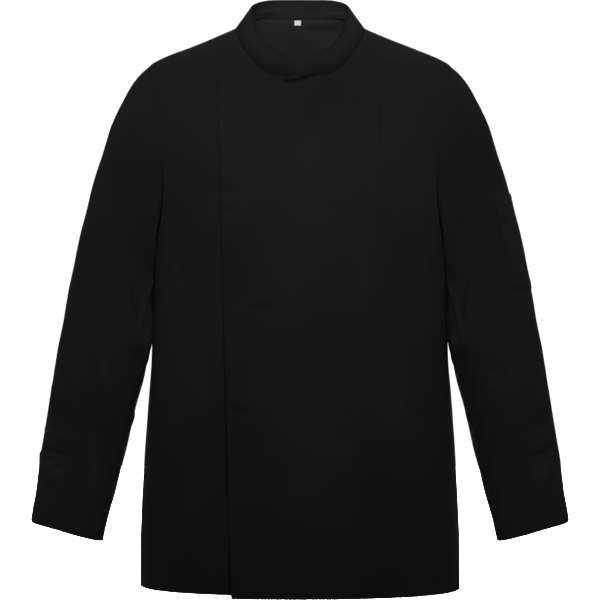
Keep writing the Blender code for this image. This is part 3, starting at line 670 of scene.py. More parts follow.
def neck_angle(x):
    """Angle round the neck of the front neck seam at x."""
    return math.degrees(math.asin((abs(x) / NECK_HALF_WIDTH) ** (NECK_POINTEDNESS / 2)))


def edge_top_z(beyond):
    """Height of the free top edge of a front, a given distance beyond the middle."""
    start = neck_height(COLLAR_END_X)
    share = (beyond - COLLAR_END_X) / (EDGE_X["left_front"][0] - COLLAR_END_X)
    return start + (EDGE_TOP_Z - start) * share


def level_row(z, side, start, count):
    """Level row on the body's front or back, from a turn to the side seam, at equal steps."""
    sizes = body_sizes(np.array(z))
    depth = sizes[1] if side < 0 else sizes[2]

    def section(turn):
        x = sizes[0] * np.sign(turn) * np.abs(np.sin(turn)) ** (2 / ROUNDNESS)
        y = side * depth * np.abs(np.cos(turn)) ** (2 / ROUNDNESS)
        return np.stack([x, y, np.full_like(x, z)], axis=-1)

    return even(section, count, start, math.pi / 2)


def patch(bottom, top, left, right):
    """Fill four edges with a net, then lay it on the body."""
    s = np.linspace(0, 1, len(bottom))[None, :, None]
    t = np.linspace(0, 1, len(left))[:, None, None]
    net = (1 - t) * bottom[None] + t * top[None] + (1 - s) * left[:, None] + s * right[:, None]
    net = net - (1 - t) * ((1 - s) * bottom[0] + s * bottom[-1])
    net = net - t * ((1 - s) * top[0] + s * top[-1])
    laid = onto_body(net)
    laid[0], laid[-1], laid[:, 0], laid[:, -1] = bottom, top, left, right
    return laid


def front_points(node):
    """Points of a front as if it were the wearer's left one, from the hem to the top."""
    columns = EDGE_STEPS + END_STEPS + NECK_STEPS + SHOULDER_STEPS
    lower = []
    for z in np.linspace(HEM_Z[node], UNDERARM_Z, SIDE_STEPS + 1):
        reach = edge_x(node, z) / body_sizes(np.array(z))[0]
        lower.append(level_row(z, -1, -math.asin(reach ** (ROUNDNESS / 2)), columns))
    lower = np.array(lower)
    corner_x = EDGE_X[node][0]
    corner_z = edge_top_z(corner_x)

    def free_top(beyond):
        z = edge_top_z(beyond)
        return np.stack([-beyond, face_y(beyond, z, -1), z], axis=-1)

    def free_edge(share):
        z = UNDERARM_Z + (corner_z - UNDERARM_Z) * share
        x = edge_x(node, z)
        return np.stack([-x, face_y(x, z, -1), z], axis=-1)

    end_angle = neck_angle(COLLAR_END_X)
    top = np.vstack([
        even(free_top, EDGE_STEPS, corner_x, COLLAR_END_X)[:-1],
        even(sewn_neck, END_STEPS, -end_angle, 0.0)[:-1],
        even(sewn_neck, NECK_STEPS, 0.0, 90.0)[:-1],
        even(shoulder_line, SHOULDER_STEPS),
    ])
    upper = patch(lower[-1], top, even(free_edge, ARMHOLE_STEPS), armhole_edge(-1))
    return np.vstack([lower, upper[1:]])


def back_points():
    """Points of the back from the wearer's right side seam to the left, hem to neck."""
    half = BACK_NECK_STEPS + SHOULDER_STEPS
    levels = np.linspace(HEM_Z["back"], UNDERARM_Z, SIDE_STEPS + 1)
    lower = np.array([level_row(z, 1, 0.0, half) for z in levels])
    lower[:, 0, 0] = 0.0
    top = np.vstack([
        even(neck_line, BACK_NECK_STEPS, 180.0, 90.0)[:-1],
        even(shoulder_line, SHOULDER_STEPS),
    ])

    def middle(share):
        z = UNDERARM_Z + (top[0, 2] - UNDERARM_Z) * share
        return np.stack([0 * z, body_sizes(z)[..., 2], z], axis=-1)

    upper = patch(lower[-1], top, even(middle, ARMHOLE_STEPS), armhole_edge(1))
    near_neck = smooth_step(1 - (upper[-1:, :, 2] - upper[..., 2]) / NECK_LIFT_REACH)
    upper[..., 2] = upper[..., 2] + neck_lift(upper[..., 0])[..., 1] * near_neck
    right_half = np.vstack([lower, upper[1:]])
    return np.concatenate([mirrored(right_half)[:, :0:-1], right_half], axis=1)


def near_segment(across, up, fold_start, fold_end, half_width):
    """1 on a line between two places, falling to 0 at half_width from it and past its ends."""
    run = np.subtract(fold_end, fold_start)
    length = np.hypot(*run)
    along = ((across - fold_start[0]) * run[0] + (up - fold_start[1]) * run[1]) / length
    aside = ((across - fold_start[0]) * run[1] - (up - fold_start[1]) * run[0]) / length
    past = np.maximum(np.maximum(-along, along - length), 0.0)
    ends = smooth_step(np.minimum(along, length - along) / (FOLD_TAPER * length))
    return smooth_step(1 - np.hypot(aside, past) / half_width) * ends


def crease_height(across, up, creases):
    """Height of the fine creases at places seen from the front or the back."""
    height = np.zeros_like(across)
    for crease in creases:
        run_x = crease.x1 - crease.x0
        run_z = crease.z1 - crease.z0
        length = math.hypot(run_x, run_z)
        share = ((across - crease.x0) * run_x + (up - crease.z0) * run_z) / length**2
        aside = ((across - crease.x0) * run_z - (up - crease.z0) * run_x) / length
        inside = np.clip(share, 0.0, 1.0)
        aside = aside - crease.bow * 4 * inside * (1 - inside)
        past = (share - inside) * length
        ends = smooth_step(np.minimum(share, 1 - share) / FOLD_TAPER + CREASE_END)
        distance = np.hypot(aside, past) / crease.half_width
        height = height + crease.height * np.exp(-(distance**2)) * ends
    return height


def body_folds(points):
    """Height of the soft folds at points of the body."""
    x, y, z = np.moveaxis(points, -1, 0)
    height = np.zeros_like(x)
    for fold in BODY_FOLDS:
        shape = near_segment(x, z, (fold.x0, fold.z0), (fold.x1, fold.z1), fold.half_width)
        height = height + fold.height * shape * (fold.side * y > 0)
    return height


STEP_REACH = 0.006
STEP_RAMP = 0.005
TOP_REACH = 0.030
TOP_RAMP = 0.028


def layer_rise(points):
    """How far the left front stands off the body to pass over the right front."""
    x, _, z = np.moveaxis(points, -1, 0)
    past_edge = smooth_step((edge_x("right_front", z) + STEP_REACH - x) / STEP_RAMP)
    cover_top = np.where(x > COLLAR_END_X, edge_top_z(np.abs(x)), 1.0)
    below_top = smooth_step((cover_top + TOP_REACH - z) / TOP_RAMP)
    return LAYER_RISE * past_edge * below_top


SIDE_FULLNESS = 0.0009
SIDE_FULLNESS_X = 0.11
SIDE_FULLNESS_SPREAD = 0.04
SIDE_FULLNESS_START = Below(-0.41, 0.05)


def side_fullness(points):
    """How far the hanging cloth stands out along the lower side seams."""
    x, _, z = np.moveaxis(points, -1, 0)
    at_side = smooth_step((np.abs(x) - SIDE_FULLNESS_X) / SIDE_FULLNESS_SPREAD)
    return SIDE_FULLNESS * at_side * below(z, SIDE_FULLNESS_START)


def seam_allowance(points, side):
    """Pull the points of a panel that lie on the side or shoulder seams back by half a gap."""
    on_seam = np.abs(points[..., 1]) < TINY
    points[..., 1] = np.where(on_seam, side * SEAM_GAP / 2, points[..., 1])
    return points


def sleeve_outward(along, turn):
    """Rough outward direction round the sleeve, along which its folds stand."""
    drop = SLEEVE_FLARE * along + 0 * turn
    return unit(np.stack([np.cos(turn) + 0 * along, -np.sin(turn) + 0 * along, drop], axis=-1))


def sleeve_folds(along, turn, folds):
    """Height of the soft folds of the sleeve."""
    length = SLEEVE_LENGTH * along + 0 * turn
    round_it = SLEEVE_RADIUS * turn + 0 * along
    height = np.zeros_like(length)
    for fold in folds:
        start = (SLEEVE_RADIUS * math.radians(fold.round0), SLEEVE_LENGTH * fold.along0)
        end = (SLEEVE_RADIUS * math.radians(fold.round1), SLEEVE_LENGTH * fold.along1)
        height = height + fold.height * near_segment(round_it, length, start, end, fold.half_width)
    return height


def keep_clear(tube, along):
    """Hold the sleeve's points off the body: by the seam's gap at the armhole, further below."""
    clear = SEAM_GAP + (SLEEVE_CLEARANCE - SEAM_GAP) * smooth_step(along / CLEARANCE_RAMP)
    tube[..., 0] = np.maximum(tube[..., 0], side_x(tube[..., 1], tube[..., 2]) + clear)


def sleeve_surface(along, turn, folds):
    """Points of the left sleeve at places along it (0 to 1) and turns round it (0 on top)."""
    along = along[:, None]
    turn = np.mod(turn, TURN)[None, :]
    sizes = sleeve_sizes(along[:, 0])[:, None, :]
    swing = np.cos(turn)
    x = (sizes[..., 0] + sizes[..., 2]) / 2 + (sizes[..., 0] - sizes[..., 2]) / 2 * swing
    z = (sizes[..., 1] + sizes[..., 3]) / 2 + (sizes[..., 1] - sizes[..., 3]) / 2 * swing
    y = (sizes[..., 4] + sizes[..., 5]) / 2 + (sizes[..., 4] - sizes[..., 5]) / 2 * np.sin(turn)
    z = z + SLEEVE_END_TILT * np.sin(turn) * smooth_step((along - ELBOW) / (1 - ELBOW))
    dropping = smooth_step((along - SLEEVE_DROP_START) / (1 - SLEEVE_DROP_START))
    z = z - SLEEVE_CORNER_DROP * np.maximum(swing, 0) ** 2 * dropping
    at_corner = np.exp((np.abs(swing) - 1) / SLEEVE_CORNER_SPREAD)
    at_corner = at_corner * np.where(swing > 0, 1.0, SLEEVE_INNER_CORNER)
    rounding = smooth_step((along - SLEEVE_ROUND_START) / (1 - SLEEVE_ROUND_START))
    z = z + SLEEVE_CORNER_ROUND * at_corner * rounding
    tube = np.stack([x, y, z], axis=-1)
    before = armhole_line(np.minimum(turn, math.pi), -1)
    behind = armhole_line(TURN - np.maximum(turn, math.pi), 1)
    armhole = np.where((turn <= math.pi)[..., None], before, behind)
    share = smooth_step(along / SLEEVE_BLEND)[..., None]
    tube = armhole * (1 - share) + tube * share
    tube = tube + sleeve_outward(along, turn) * sleeve_folds(along, turn, folds)[..., None]
    keep_clear(tube, along)
    return tube


# ---------------------------------------------------------------- cloth walls


def add_object(name, data):
    """Put a mesh, lamp or camera into the scene."""
    thing = bpy.data.objects.new(name, data)
    bpy.context.scene.collection.objects.link(thing)
    return thing


def net_normals(net, closed=False):
    """Normals of a net of points, on the side from which rows run up as columns run right."""
    if closed:
        across = np.roll(net, -1, axis=1) - np.roll(net, 1, axis=1)
    else:
        across = np.gradient(net, axis=1)
    return unit(np.cross(across, np.gradient(net, axis=0)))


def grid_faces(rows, columns, first, closed, flip):
    """Quads of a net whose points are numbered row by row from first."""
    spans = columns if closed else columns - 1
    i, j = np.meshgrid(np.arange(rows - 1), np.arange(spans), indexing="ij")
    k = (j + 1) % columns
    low = first + i * columns
    high = low + columns
    quads = np.stack([low + j, low + k, high + k, high + j], axis=-1).reshape(-1, 4)
    return quads[:, ::-1] if flip else quads


def border(rows, columns, closed):
    """Runs of point numbers along the free edges of a net, each with the net on its left."""
    bottom = np.arange(columns)
    top = (rows - 1) * columns + np.arange(columns)[::-1]
    if closed:
        return [np.append(bottom, bottom[0]), np.append(top, top[0])]
    right = np.arange(rows) * columns + columns - 1
    left = np.arange(rows)[::-1] * columns
    return [np.concatenate([bottom, right[1:], top[1:], left[1:]])]


EDGE_ROUNDING = 0.8


def quad_mesh(name, points, quads):
    """Mesh of quads over some points."""
    mesh = bpy.data.meshes.new(name)
    mesh.vertices.add(len(points))
    mesh.vertices.foreach_set("co", points.astype(np.float32).ravel())
    mesh.loops.add(quads.size)
    mesh.loops.foreach_set("vertex_index", quads.astype(np.int32).ravel())
    mesh.polygons.add(len(quads))
    mesh.polygons.foreach_set("loop_start", np.arange(0, quads.size, 4, dtype=np.int32))
    mesh.update(calc_edges=True)
    mesh.validate()
    return mesh


class Wall:
    """A cloth wall: its outer and inner nets, and what its finish needs at each place."""

    def __init__(self, outer, normal, thickness, closed=False, flip=False):
        self.outer = outer
        self.normal = normal
        self.inner = outer - normal * thickness
        self.closed = closed
        self.flip = flip
        self.marks = {}
        self.inner_tone = np.zeros(outer.shape[:2])

    def build(self, name, material):
        """Make the closed shell, with rounded edges, cut coordinates and marks."""
        rows, columns = self.outer.shape[:2]
        count = rows * columns
        points = [self.outer.reshape(-1, 3), self.inner.reshape(-1, 3)]
        faces = [
            grid_faces(rows, columns, 0, self.closed, self.flip),
            grid_faces(rows, columns, count, self.closed, not self.flip),
        ]
        source = [np.arange(count), np.arange(count)]
        first = 2 * count
        centre = self.outer.reshape(-1, 3)
        for run in border(rows, columns, self.closed):
            ring = run[:-1]
            out, back = points[0][ring], points[1][ring]
            beside = unit(np.roll(centre[ring], -1, axis=0) - np.roll(centre[ring], 1, axis=0))
            away = np.cross(beside, unit(out - back)) * (-1 if self.flip else 1)
            half = np.linalg.norm(out - back, axis=1, keepdims=True) / 2
            points.append((out + back) / 2 + away * half * EDGE_ROUNDING)
            middle = first + np.arange(len(ring))
            following = np.roll(middle, -1)
            after = np.roll(ring, -1)
            rim = np.vstack([
                np.stack([ring, middle, following, after], axis=1),
                np.stack([middle, ring + count, after + count, following], axis=1),
            ])
            faces.append(rim[:, ::-1] if self.flip else rim)
            source.append(ring)
            first += len(ring)
        quads = np.vstack(faces)
        source = np.concatenate(source)
        mesh = quad_mesh(name, np.vstack(points), quads)
        self.add_cut_map(mesh, quads, source)
        self.store_marks(mesh, source)
        mesh.shade_smooth()
        mesh.materials.append(material)
        return add_object(name, mesh)

    def store_marks(self, mesh, source):
        """Store each mark at the mesh's points; the inner face has painted light and shade of its own."""
        count = self.outer.shape[0] * self.outer.shape[1]
        inside = np.concatenate([np.zeros(count), np.ones(count), np.zeros(len(source) - 2 * count)])
        for key, values in self.marks.items():
            values = values.ravel()[source]
            if key == "tone":
                values = values * (1 + inside * self.inner_tone.ravel()[source])
            layer = mesh.attributes.new(key, "FLOAT", "POINT")
            layer.data.foreach_set("value", values.astype(np.float32))

    def lengths(self):
        """Distance across and up the cloth, in metres, at every point of the net."""
        across = np.linalg.norm(np.diff(self.outer, axis=1), axis=2)
        up = np.linalg.norm(np.diff(self.outer, axis=0), axis=2)
        across = np.concatenate([np.zeros((len(across), 1)), np.cumsum(across, axis=1)], axis=1)
        up = np.concatenate([np.zeros((1, up.shape[1])), np.cumsum(up, axis=0)], axis=0)
        return across, up

    def add_cut_map(self, mesh, quads, source):
        """Give each corner its place on the flat cloth, in metres, so the weave follows it."""
        across, up = self.lengths()
        columns = self.outer.shape[1]
        place = np.stack([across.ravel(), up.ravel()], axis=1)[source]
        corner = place[quads]
        if self.closed:
            column = (source % columns)[quads]
            wraps = (column.max(axis=1) - column.min(axis=1)) > 1
            last = np.linalg.norm(self.outer[:, 0] - self.outer[:, -1], axis=1) + across[:, -1]
            row = (source // columns)[quads]
            at_start = wraps[:, None] & (column == 0)
            corner[..., 0] = np.where(at_start, last[row], corner[..., 0])
        layer = mesh.uv_layers.new(name="cut")
        layer.data.foreach_set("uv", corner.astype(np.float32).ravel())


# ---------------------------------------------------------------- sewing

Thread = namedtuple("Thread", "pitch length width")
STITCH_SIDES = 6
Swell = namedtuple("Swell", "along width height")
STITCH_SHAPE = (
    Swell(-0.50, 0.35, -0.45),
    Swell(-0.32, 0.85, 0.12),
    Swell(0.00, 1.00, 0.30),
    Swell(0.32, 0.85, 0.12),
    Swell(0.50, 0.35, -0.45),
)


def inset_line(wall, edge, distance):
    """Points and normals of a line at a distance from one edge of a wall, along that edge."""
    net, normal = wall.outer, wall.normal
    if edge in ("bottom", "top"):
        net, normal = net.transpose(1, 0, 2), normal.transpose(1, 0, 2)
    if edge in ("top", "right"):
        net, normal = net[:, ::-1], normal[:, ::-1]
    points, ups = [], []
    for row, up in zip(net, normal):
        length = run_length(row)
        points.append([np.interp(distance, length, row[:, axis]) for axis in range(3)])
        ups.append([np.interp(distance, length, up[:, axis]) for axis in range(3)])
    return np.array(points), unit(np.array(ups))


def trimmed(points, ups, start, end):
    """The part of a run between a distance from its start and a distance from its end."""
    length = run_length(points)
    inside = (length >= start) & (length <= length[-1] - end)
    return points[inside], ups[inside]


def stitch_mesh(name, runs, thread, material):
    """One mesh of all the stitches along some runs of points on the cloth."""
    ring = np.linspace(0, TURN, STITCH_SIDES, endpoint=False)
    shape = np.array(STITCH_SHAPE)
    vertices, faces = [], []
    rings, sides = len(shape), STITCH_SIDES
    body = [
        (r * sides + s, r * sides + (s + 1) % sides, (r + 1) * sides + (s + 1) % sides, (r + 1) * sides + s)
        for r in range(rings - 1)
        for s in range(sides)
    ]
    ends = [tuple(range(sides))[::-1], tuple(range((rings - 1) * sides, rings * sides))]
    first = 0
    for points, ups in runs:
        length = run_length(points)
        count = max(1, int((length[-1] - thread.length) // thread.pitch))
        starts = (np.arange(count) + 0.5) * length[-1] / count
        for at in starts:
            spots = at + shape[:, 0] * thread.length
            place = np.array([np.interp(spots, length, points[:, a]) for a in range(3)]).T
            up = unit(np.array([np.interp(at, length, ups[:, a]) for a in range(3)]))
            along = unit(place[-1] - place[0])
            aside = unit(np.cross(along, up))
            radius = thread.width / 2 * shape[:, 1]
            lift = place + up * (thread.width / 2 * shape[:, 2])[:, None]
            round_it = np.cos(ring)[None, :, None] * aside + np.sin(ring)[None, :, None] * up
            vertices.append((lift[:, None] + radius[:, None, None] * round_it).reshape(-1, 3))
            faces += [tuple(v + first for v in face) for face in body + ends]
            first += rings * sides
    mesh = bpy.data.meshes.new(name)
    mesh.from_pydata(np.vstack(vertices).tolist(), [], faces)
    mesh.shade_smooth()
    mesh.materials.append(material)
    return add_object(name, mesh)


# ---------------------------------------------------------------- finishes

WORN_LIFT = 1.9
# Painted shade along seams: how far it reaches from a seam, and how dark it is there
CREVICE_WIDTH = 0.0040
CREVICE_SHADE = 0.85
EDGE_GROOVE = 0.0011
HEM_GROOVE = 0.0014
GROOVE_DEPTH = 0.0004
WEAVE_DEPTH = 0.00005
PLY_SCALE = 2600.0
PLY_DEPTH = 0.0001
LABEL_WALE = 0.0004
LABEL_WEAVE_DEPTH = 0.00003
LABEL_TROUGH = 0.90

# Twill: threads to a wale, how deep they cross it, and its unevenness
THREADS_PER_WALE = 1.5
THREAD_SHARE = 0.35
UNEVEN_SCALE = 900.0
UNEVEN_SHARE = 0.9
TWILL_LOW = -1.0
TWILL_HIGH = 1.9

# Wear: size of clouds and fluff, and how much paler each makes the cloth
CLOUD_SCALE = 9.0
CLOUD_PALE = 0.14
FLUFF_SCALE = 420.0
FLUFF_PALE = 0.22
RIB_PALE = 0.16
EDGE_PALE = 0.10
EDGE_PALE_WIDTH = 0.0012
ROUGHEST = 0.98
SMOOTHEST = 0.88
PUCKER_SCALE = 160.0

# Numbers of the colour sockets on the mix node
MIX_FIRST = 6
MIX_SECOND = 7
MIX_RESULT = 2


def place_node(tree, kind, **values):
    """Add a node and set its properties."""
    made = tree.nodes.new(kind)
    for name, value in values.items():
        setattr(made, name, value)
    return made


def feed(tree, socket, source):
    """Link an output to a socket, or set the socket's own value."""
    if isinstance(source, bpy.types.NodeSocket):
        tree.links.new(source, socket)
    else:
        socket.default_value = source


def maths(tree, operation, *sources):
    made = place_node(tree, "ShaderNodeMath", operation=operation)
    for socket, source in zip(made.inputs, sources):
        feed(tree, socket, source)
    return made.outputs[0]


def ramp(tree, source, low, high, to_low, to_high):
    """Take a value from one range smoothly to another."""
    made = place_node(tree, "ShaderNodeMapRange", interpolation_type="SMOOTHSTEP")
    for name, value in zip(("Value", "From Min", "From Max", "To Min", "To Max"),
                           (source, low, high, to_low, to_high)):
        feed(tree, made.inputs[name], value)
    return made.outputs["Result"]


def noise(tree, place, scale, detail):
    made = place_node(tree, "ShaderNodeTexNoise")
    feed(tree, made.inputs["Vector"], place)
    feed(tree, made.inputs["Scale"], scale)
    feed(tree, made.inputs["Detail"], detail)
    return made.outputs["Fac"]


def mark(tree, name):
    """What the cloth says under a name, at each place."""
    return place_node(tree, "ShaderNodeAttribute", attribute_name=name).outputs["Fac"]


def cut_place(tree):
    """Place on the flat cloth, in metres."""
    return place_node(tree, "ShaderNodeUVMap", uv_map="cut").outputs["UV"]


def room_place(tree):
    """Place in the jacket's own frame."""
    return place_node(tree, "ShaderNodeTexCoord").outputs["Object"]


def blend(tree, share, first, second):
    """Mix of two colours."""
    mix = place_node(tree, "ShaderNodeMix", data_type="RGBA")
    feed(tree, mix.inputs["Factor"], share)
    feed(tree, mix.inputs[MIX_FIRST], first)
    feed(tree, mix.inputs[MIX_SECOND], second)
    return mix.outputs[MIX_RESULT]


def new_group(name, inputs, outputs):
    """Start a node group with named sockets."""
    tree = bpy.data.node_groups.new(name, "ShaderNodeTree")
    for socket, kind in inputs:
        tree.interface.new_socket(name=socket, in_out="INPUT", socket_type=kind)
    for socket, kind in outputs:
        tree.interface.new_socket(name=socket, in_out="OUTPUT", socket_type=kind)
    return tree, tree.nodes.new("NodeGroupInput"), tree.nodes.new("NodeGroupOutput")


def use_group(tree, group, **values):
    made = tree.nodes.new("ShaderNodeGroup")
    made.node_tree = group
    for name, value in values.items():
        feed(tree, made.inputs[name.replace("_", " ")], value)
    return made


def twill_group():
    """Diagonal ribs of twill, each crossed by its threads, from places on the flat cloth."""
    made = bpy.data.node_groups.get("Twill weave")
    if made:
        return made
    tree, start, end = new_group(
        "Twill weave",
        [("Cut", "NodeSocketVector"), ("Wale", "NodeSocketFloat")],
        [("Height", "NodeSocketFloat"), ("Shade", "NodeSocketFloat")],
    )
    parts = place_node(tree, "ShaderNodeSeparateXYZ")
    feed(tree, parts.inputs[0], start.outputs["Cut"])
    per_wale = maths(tree, "DIVIDE", TURN, start.outputs["Wale"])
    across = maths(tree, "MULTIPLY", parts.outputs["X"], per_wale)
    up = maths(tree, "MULTIPLY", parts.outputs["Y"], per_wale)
    ribs = maths(tree, "SINE", maths(tree, "SUBTRACT", up, across))
    along_threads = maths(tree, "MULTIPLY", maths(tree, "ADD", up, across), THREADS_PER_WALE)
    threads = maths(tree, "SINE", along_threads)
    crossed = maths(tree, "MULTIPLY_ADD", threads, THREAD_SHARE, ribs)
    uneven = noise(tree, start.outputs["Cut"], UNEVEN_SCALE, 2.0)
    height = maths(tree, "MULTIPLY_ADD", uneven, UNEVEN_SHARE, crossed)
    feed(tree, end.inputs["Height"], height)
    feed(tree, end.inputs["Shade"], ramp(tree, height, TWILL_LOW, TWILL_HIGH, 0.0, 1.0))
    return tree


def wear_group():
    """Cloth colour with faint clouds, fluff and paler folded edges, and a roughness to match."""
    tree, start, end = new_group(
        "Cloth wear",
        [("Place", "NodeSocketVector"), ("Colour", "NodeSocketColor"),
         ("Worn colour", "NodeSocketColor"), ("Edge", "NodeSocketFloat"),
         ("Shade", "NodeSocketFloat"), ("Tone", "NodeSocketFloat")],
        [("Colour", "NodeSocketColor"), ("Roughness", "NodeSocketFloat")],
    )
    clouds = noise(tree, start.outputs["Place"], CLOUD_SCALE, 3.0)
    fluff = noise(tree, start.outputs["Place"], FLUFF_SCALE, 2.0)
    at_edge = ramp(tree, start.outputs["Edge"], 0.0, EDGE_PALE_WIDTH, EDGE_PALE, 0.0)
    pale = maths(tree, "MULTIPLY_ADD", start.outputs["Shade"], RIB_PALE, at_edge)
    pale = maths(tree, "ADD", pale, ramp(tree, clouds, 0.35, 0.70, 0.0, CLOUD_PALE))
    pale = maths(tree, "ADD", pale, ramp(tree, fluff, 0.60, 0.80, 0.0, FLUFF_PALE))
    # The tone, mostly painted light and shade, scales the colour
    toned = place_node(tree, "ShaderNodeVectorMath", operation="SCALE")
    colours = blend(tree, pale, start.outputs["Colour"], start.outputs["Worn colour"])
    feed(tree, toned.inputs[0], colours)
    feed(tree, toned.inputs["Scale"], start.outputs["Tone"])
    feed(tree, end.inputs["Colour"], toned.outputs[0])
    feed(tree, end.inputs["Roughness"], ramp(tree, clouds, 0.3, 0.7, ROUGHEST, SMOOTHEST))
    return tree


def sewn_group():
    """Height of the groove that a line of stitches pulls into the cloth, and its small puckers."""
    tree, start, end = new_group(
        "Sewn line",
        [("Distance", "NodeSocketFloat"), ("Line", "NodeSocketFloat"),
         ("Half width", "NodeSocketFloat"), ("Place", "NodeSocketVector")],
        [("Height", "NodeSocketFloat")],
    )
    past = maths(tree, "SUBTRACT", start.outputs["Distance"], start.outputs["Line"])
    share = maths(tree, "DIVIDE", maths(tree, "ABSOLUTE", past), start.outputs["Half width"])
    trough = ramp(tree, share, 0.0, 1.0, -1.0, 0.0)
    uneven = noise(tree, start.outputs["Place"], PUCKER_SCALE, 1.0)
    pucker = ramp(tree, uneven, 0.3, 0.7, -0.5, 0.5)
    beside = ramp(tree, share, 0.5, 3.0, 1.0, 0.0)
    feed(tree, end.inputs["Height"], maths(tree, "MULTIPLY_ADD", pucker, beside, trough))
    return tree


def start_material(name, **sockets):
    """A material with one Principled shader whose plain sockets are set."""
    finish = bpy.data.materials.new(name)
    finish.use_nodes = True
    shader = finish.node_tree.nodes["Principled BSDF"]
    for socket, value in sockets.items():
        shader.inputs[socket.replace("_", " ")].default_value = value
    return finish, finish.node_tree, shader


def add_bump(tree, shader, height, distance, under=None):
    """Bump from a height in metres, over another bump's normal where there is one."""
    bump = place_node(tree, "ShaderNodeBump")
    feed(tree, bump.inputs["Height"], height)
    feed(tree, bump.inputs["Distance"], distance)
    if under is not None:
        feed(tree, bump.inputs["Normal"], under)
    feed(tree, shader.inputs["Normal"], bump.outputs["Normal"])
    return bump.outputs["Normal"]


def rgba(values, gain=1.0):
    """Opaque colour, made paler by a gain."""
    return (*[value * gain for value in values], 1.0)


def twill_finish():
    """Matt black twill."""
    made = bpy.data.materials.get("black_twill")
    if made:
        return made
    look = bpy.context.scene.jacket_finish
    sizes = bpy.context.scene.jacket_sizes
    made, tree, shader = start_material(
        "black_twill", Metallic=0.0, IOR=1.45, Specular_IOR_Level=0.03, Diffuse_Roughness=0.9,
        Sheen_Weight=0.0015, Sheen_Roughness=0.5,
    )
    cut = cut_place(tree)
    place = room_place(tree)
    edge = mark(tree, "edge")
    # Painted shade along seams, beside the left front's edge and under the collar
    in_crevice = ramp(tree, mark(tree, "seam"), 0.0, CREVICE_WIDTH, CREVICE_SHADE, 0.0)
    shadow = maths(tree, "MULTIPLY", mark(tree, "crevice_shade"), in_crevice)
    # The tone, mostly painted light and shade, and the painted shade scale the colour
    tone = maths(tree, "MULTIPLY", mark(tree, "tone"), maths(tree, "SUBTRACT", 1.0, shadow))
    weave = use_group(tree, twill_group(), Cut=cut, Wale=look.wale)
    wear = use_group(
        tree, wear_group(), Place=place, Colour=rgba(look.cloth), Worn_colour=rgba(look.cloth, WORN_LIFT),
        Edge=edge, Shade=weave.outputs["Shade"], Tone=tone,
    )
    feed(tree, shader.inputs["Base Color"], wear.outputs["Colour"])
    feed(tree, shader.inputs["Roughness"], wear.outputs["Roughness"])
    sewn = sewn_group()
    by_edge = use_group(
        tree, sewn, Distance=edge, Line=sizes.edge_inset, Half_width=EDGE_GROOVE, Place=place,
    )
    by_hem = use_group(
        tree, sewn, Distance=mark(tree, "hem"), Line=sizes.hem, Half_width=HEM_GROOVE, Place=place,
    )
    grooves = maths(tree, "ADD", by_edge.outputs["Height"], by_hem.outputs["Height"])
    grooved = add_bump(tree, shader, grooves, GROOVE_DEPTH)
    add_bump(tree, shader, weave.outputs["Height"], WEAVE_DEPTH, under=grooved)
    return made


def thread_finish():
    """Black polyester thread with its ply."""
    made = bpy.data.materials.get("black_thread")
    if made:
        return made
    look = bpy.context.scene.jacket_finish
    made, tree, shader = start_material(
        "black_thread", Metallic=0.0, IOR=1.5, Specular_IOR_Level=0.04, Roughness=0.75,
    )
    ply = noise(tree, room_place(tree), PLY_SCALE, 1.0)
    share = ramp(tree, ply, 0.3, 0.7, 0.0, 1.0)
    colours = blend(tree, share, rgba(look.thread), rgba(look.thread, WORN_LIFT))
    feed(tree, shader.inputs["Base Color"], colours)
    add_bump(tree, shader, ply, PLY_DEPTH)
    return made


def label_finish():
    """White satin tape, left bare."""
    look = bpy.context.scene.jacket_finish
    made, tree, shader = start_material(
        "white_label_tape", Metallic=0.0, IOR=1.45, Specular_IOR_Level=0.3, Sheen_Weight=0.1,
        Sheen_Roughness=0.3,
    )
    weave = use_group(tree, twill_group(), Cut=cut_place(tree), Wale=LABEL_WALE)
    shade = weave.outputs["Shade"]
    colours = blend(tree, shade, rgba(look.label, LABEL_TROUGH), rgba(look.label))
    feed(tree, shader.inputs["Base Color"], colours)
    feed(tree, shader.inputs["Roughness"], ramp(tree, shade, 0.0, 1.0, 0.55, 0.4))
    add_bump(tree, shader, weave.outputs["Height"], LABEL_WEAVE_DEPTH)
    return made


# ---------------------------------------------------------------- pieces

FAR = 0.1
Ripple = namedtuple("Ripple", "across up height phase")
RIPPLES = (
    Ripple(9.0, 5.0, 0.00030, 0.3),
    Ripple(-5.0, 13.0, 0.00022, 1.9),
    Ripple(17.0, -9.0, 0.00014, 4.1),
    Ripple(24.0, 31.0, 0.00006, 0.8),
)


def ripple_height(across, up):
    """Slight unevenness of hanging cloth: a few long crossing waves (turns per metre)."""
    height = np.zeros_like(across)
    for wave in RIPPLES:
        height = height + wave.height * np.sin(TURN * (wave.across * across + wave.up * up) + wave.phase)
    return height


def distances(outer):
    """Distances on the cloth from the left, right, bottom and top edges of a net."""
    across, up = Wall(outer, 0 * outer, 0).lengths()
    return across, across[:, -1:] - across, up, up[-1:] - up


def finish_piece(piece, node, sewing=()):
    """Fix a piece and its sewing to the jacket, in the place of its solid."""
    for part in (piece, *sewing):
        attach(part, "root")
    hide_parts(node)


# Painted light and shade of creases: how much paler or darker per metre of height, and its limits
CREASE_LIGHT_GAIN = 110.0
DARKEST_TROUGH = -0.45
PALEST_RIDGE = 0.30


def crease_light_and_shade(height):
    """Painted light on the ridges of creases and painted shade in their troughs."""
    return 1 + np.clip(CREASE_LIGHT_GAIN * height, DARKEST_TROUGH, PALEST_RIDGE)


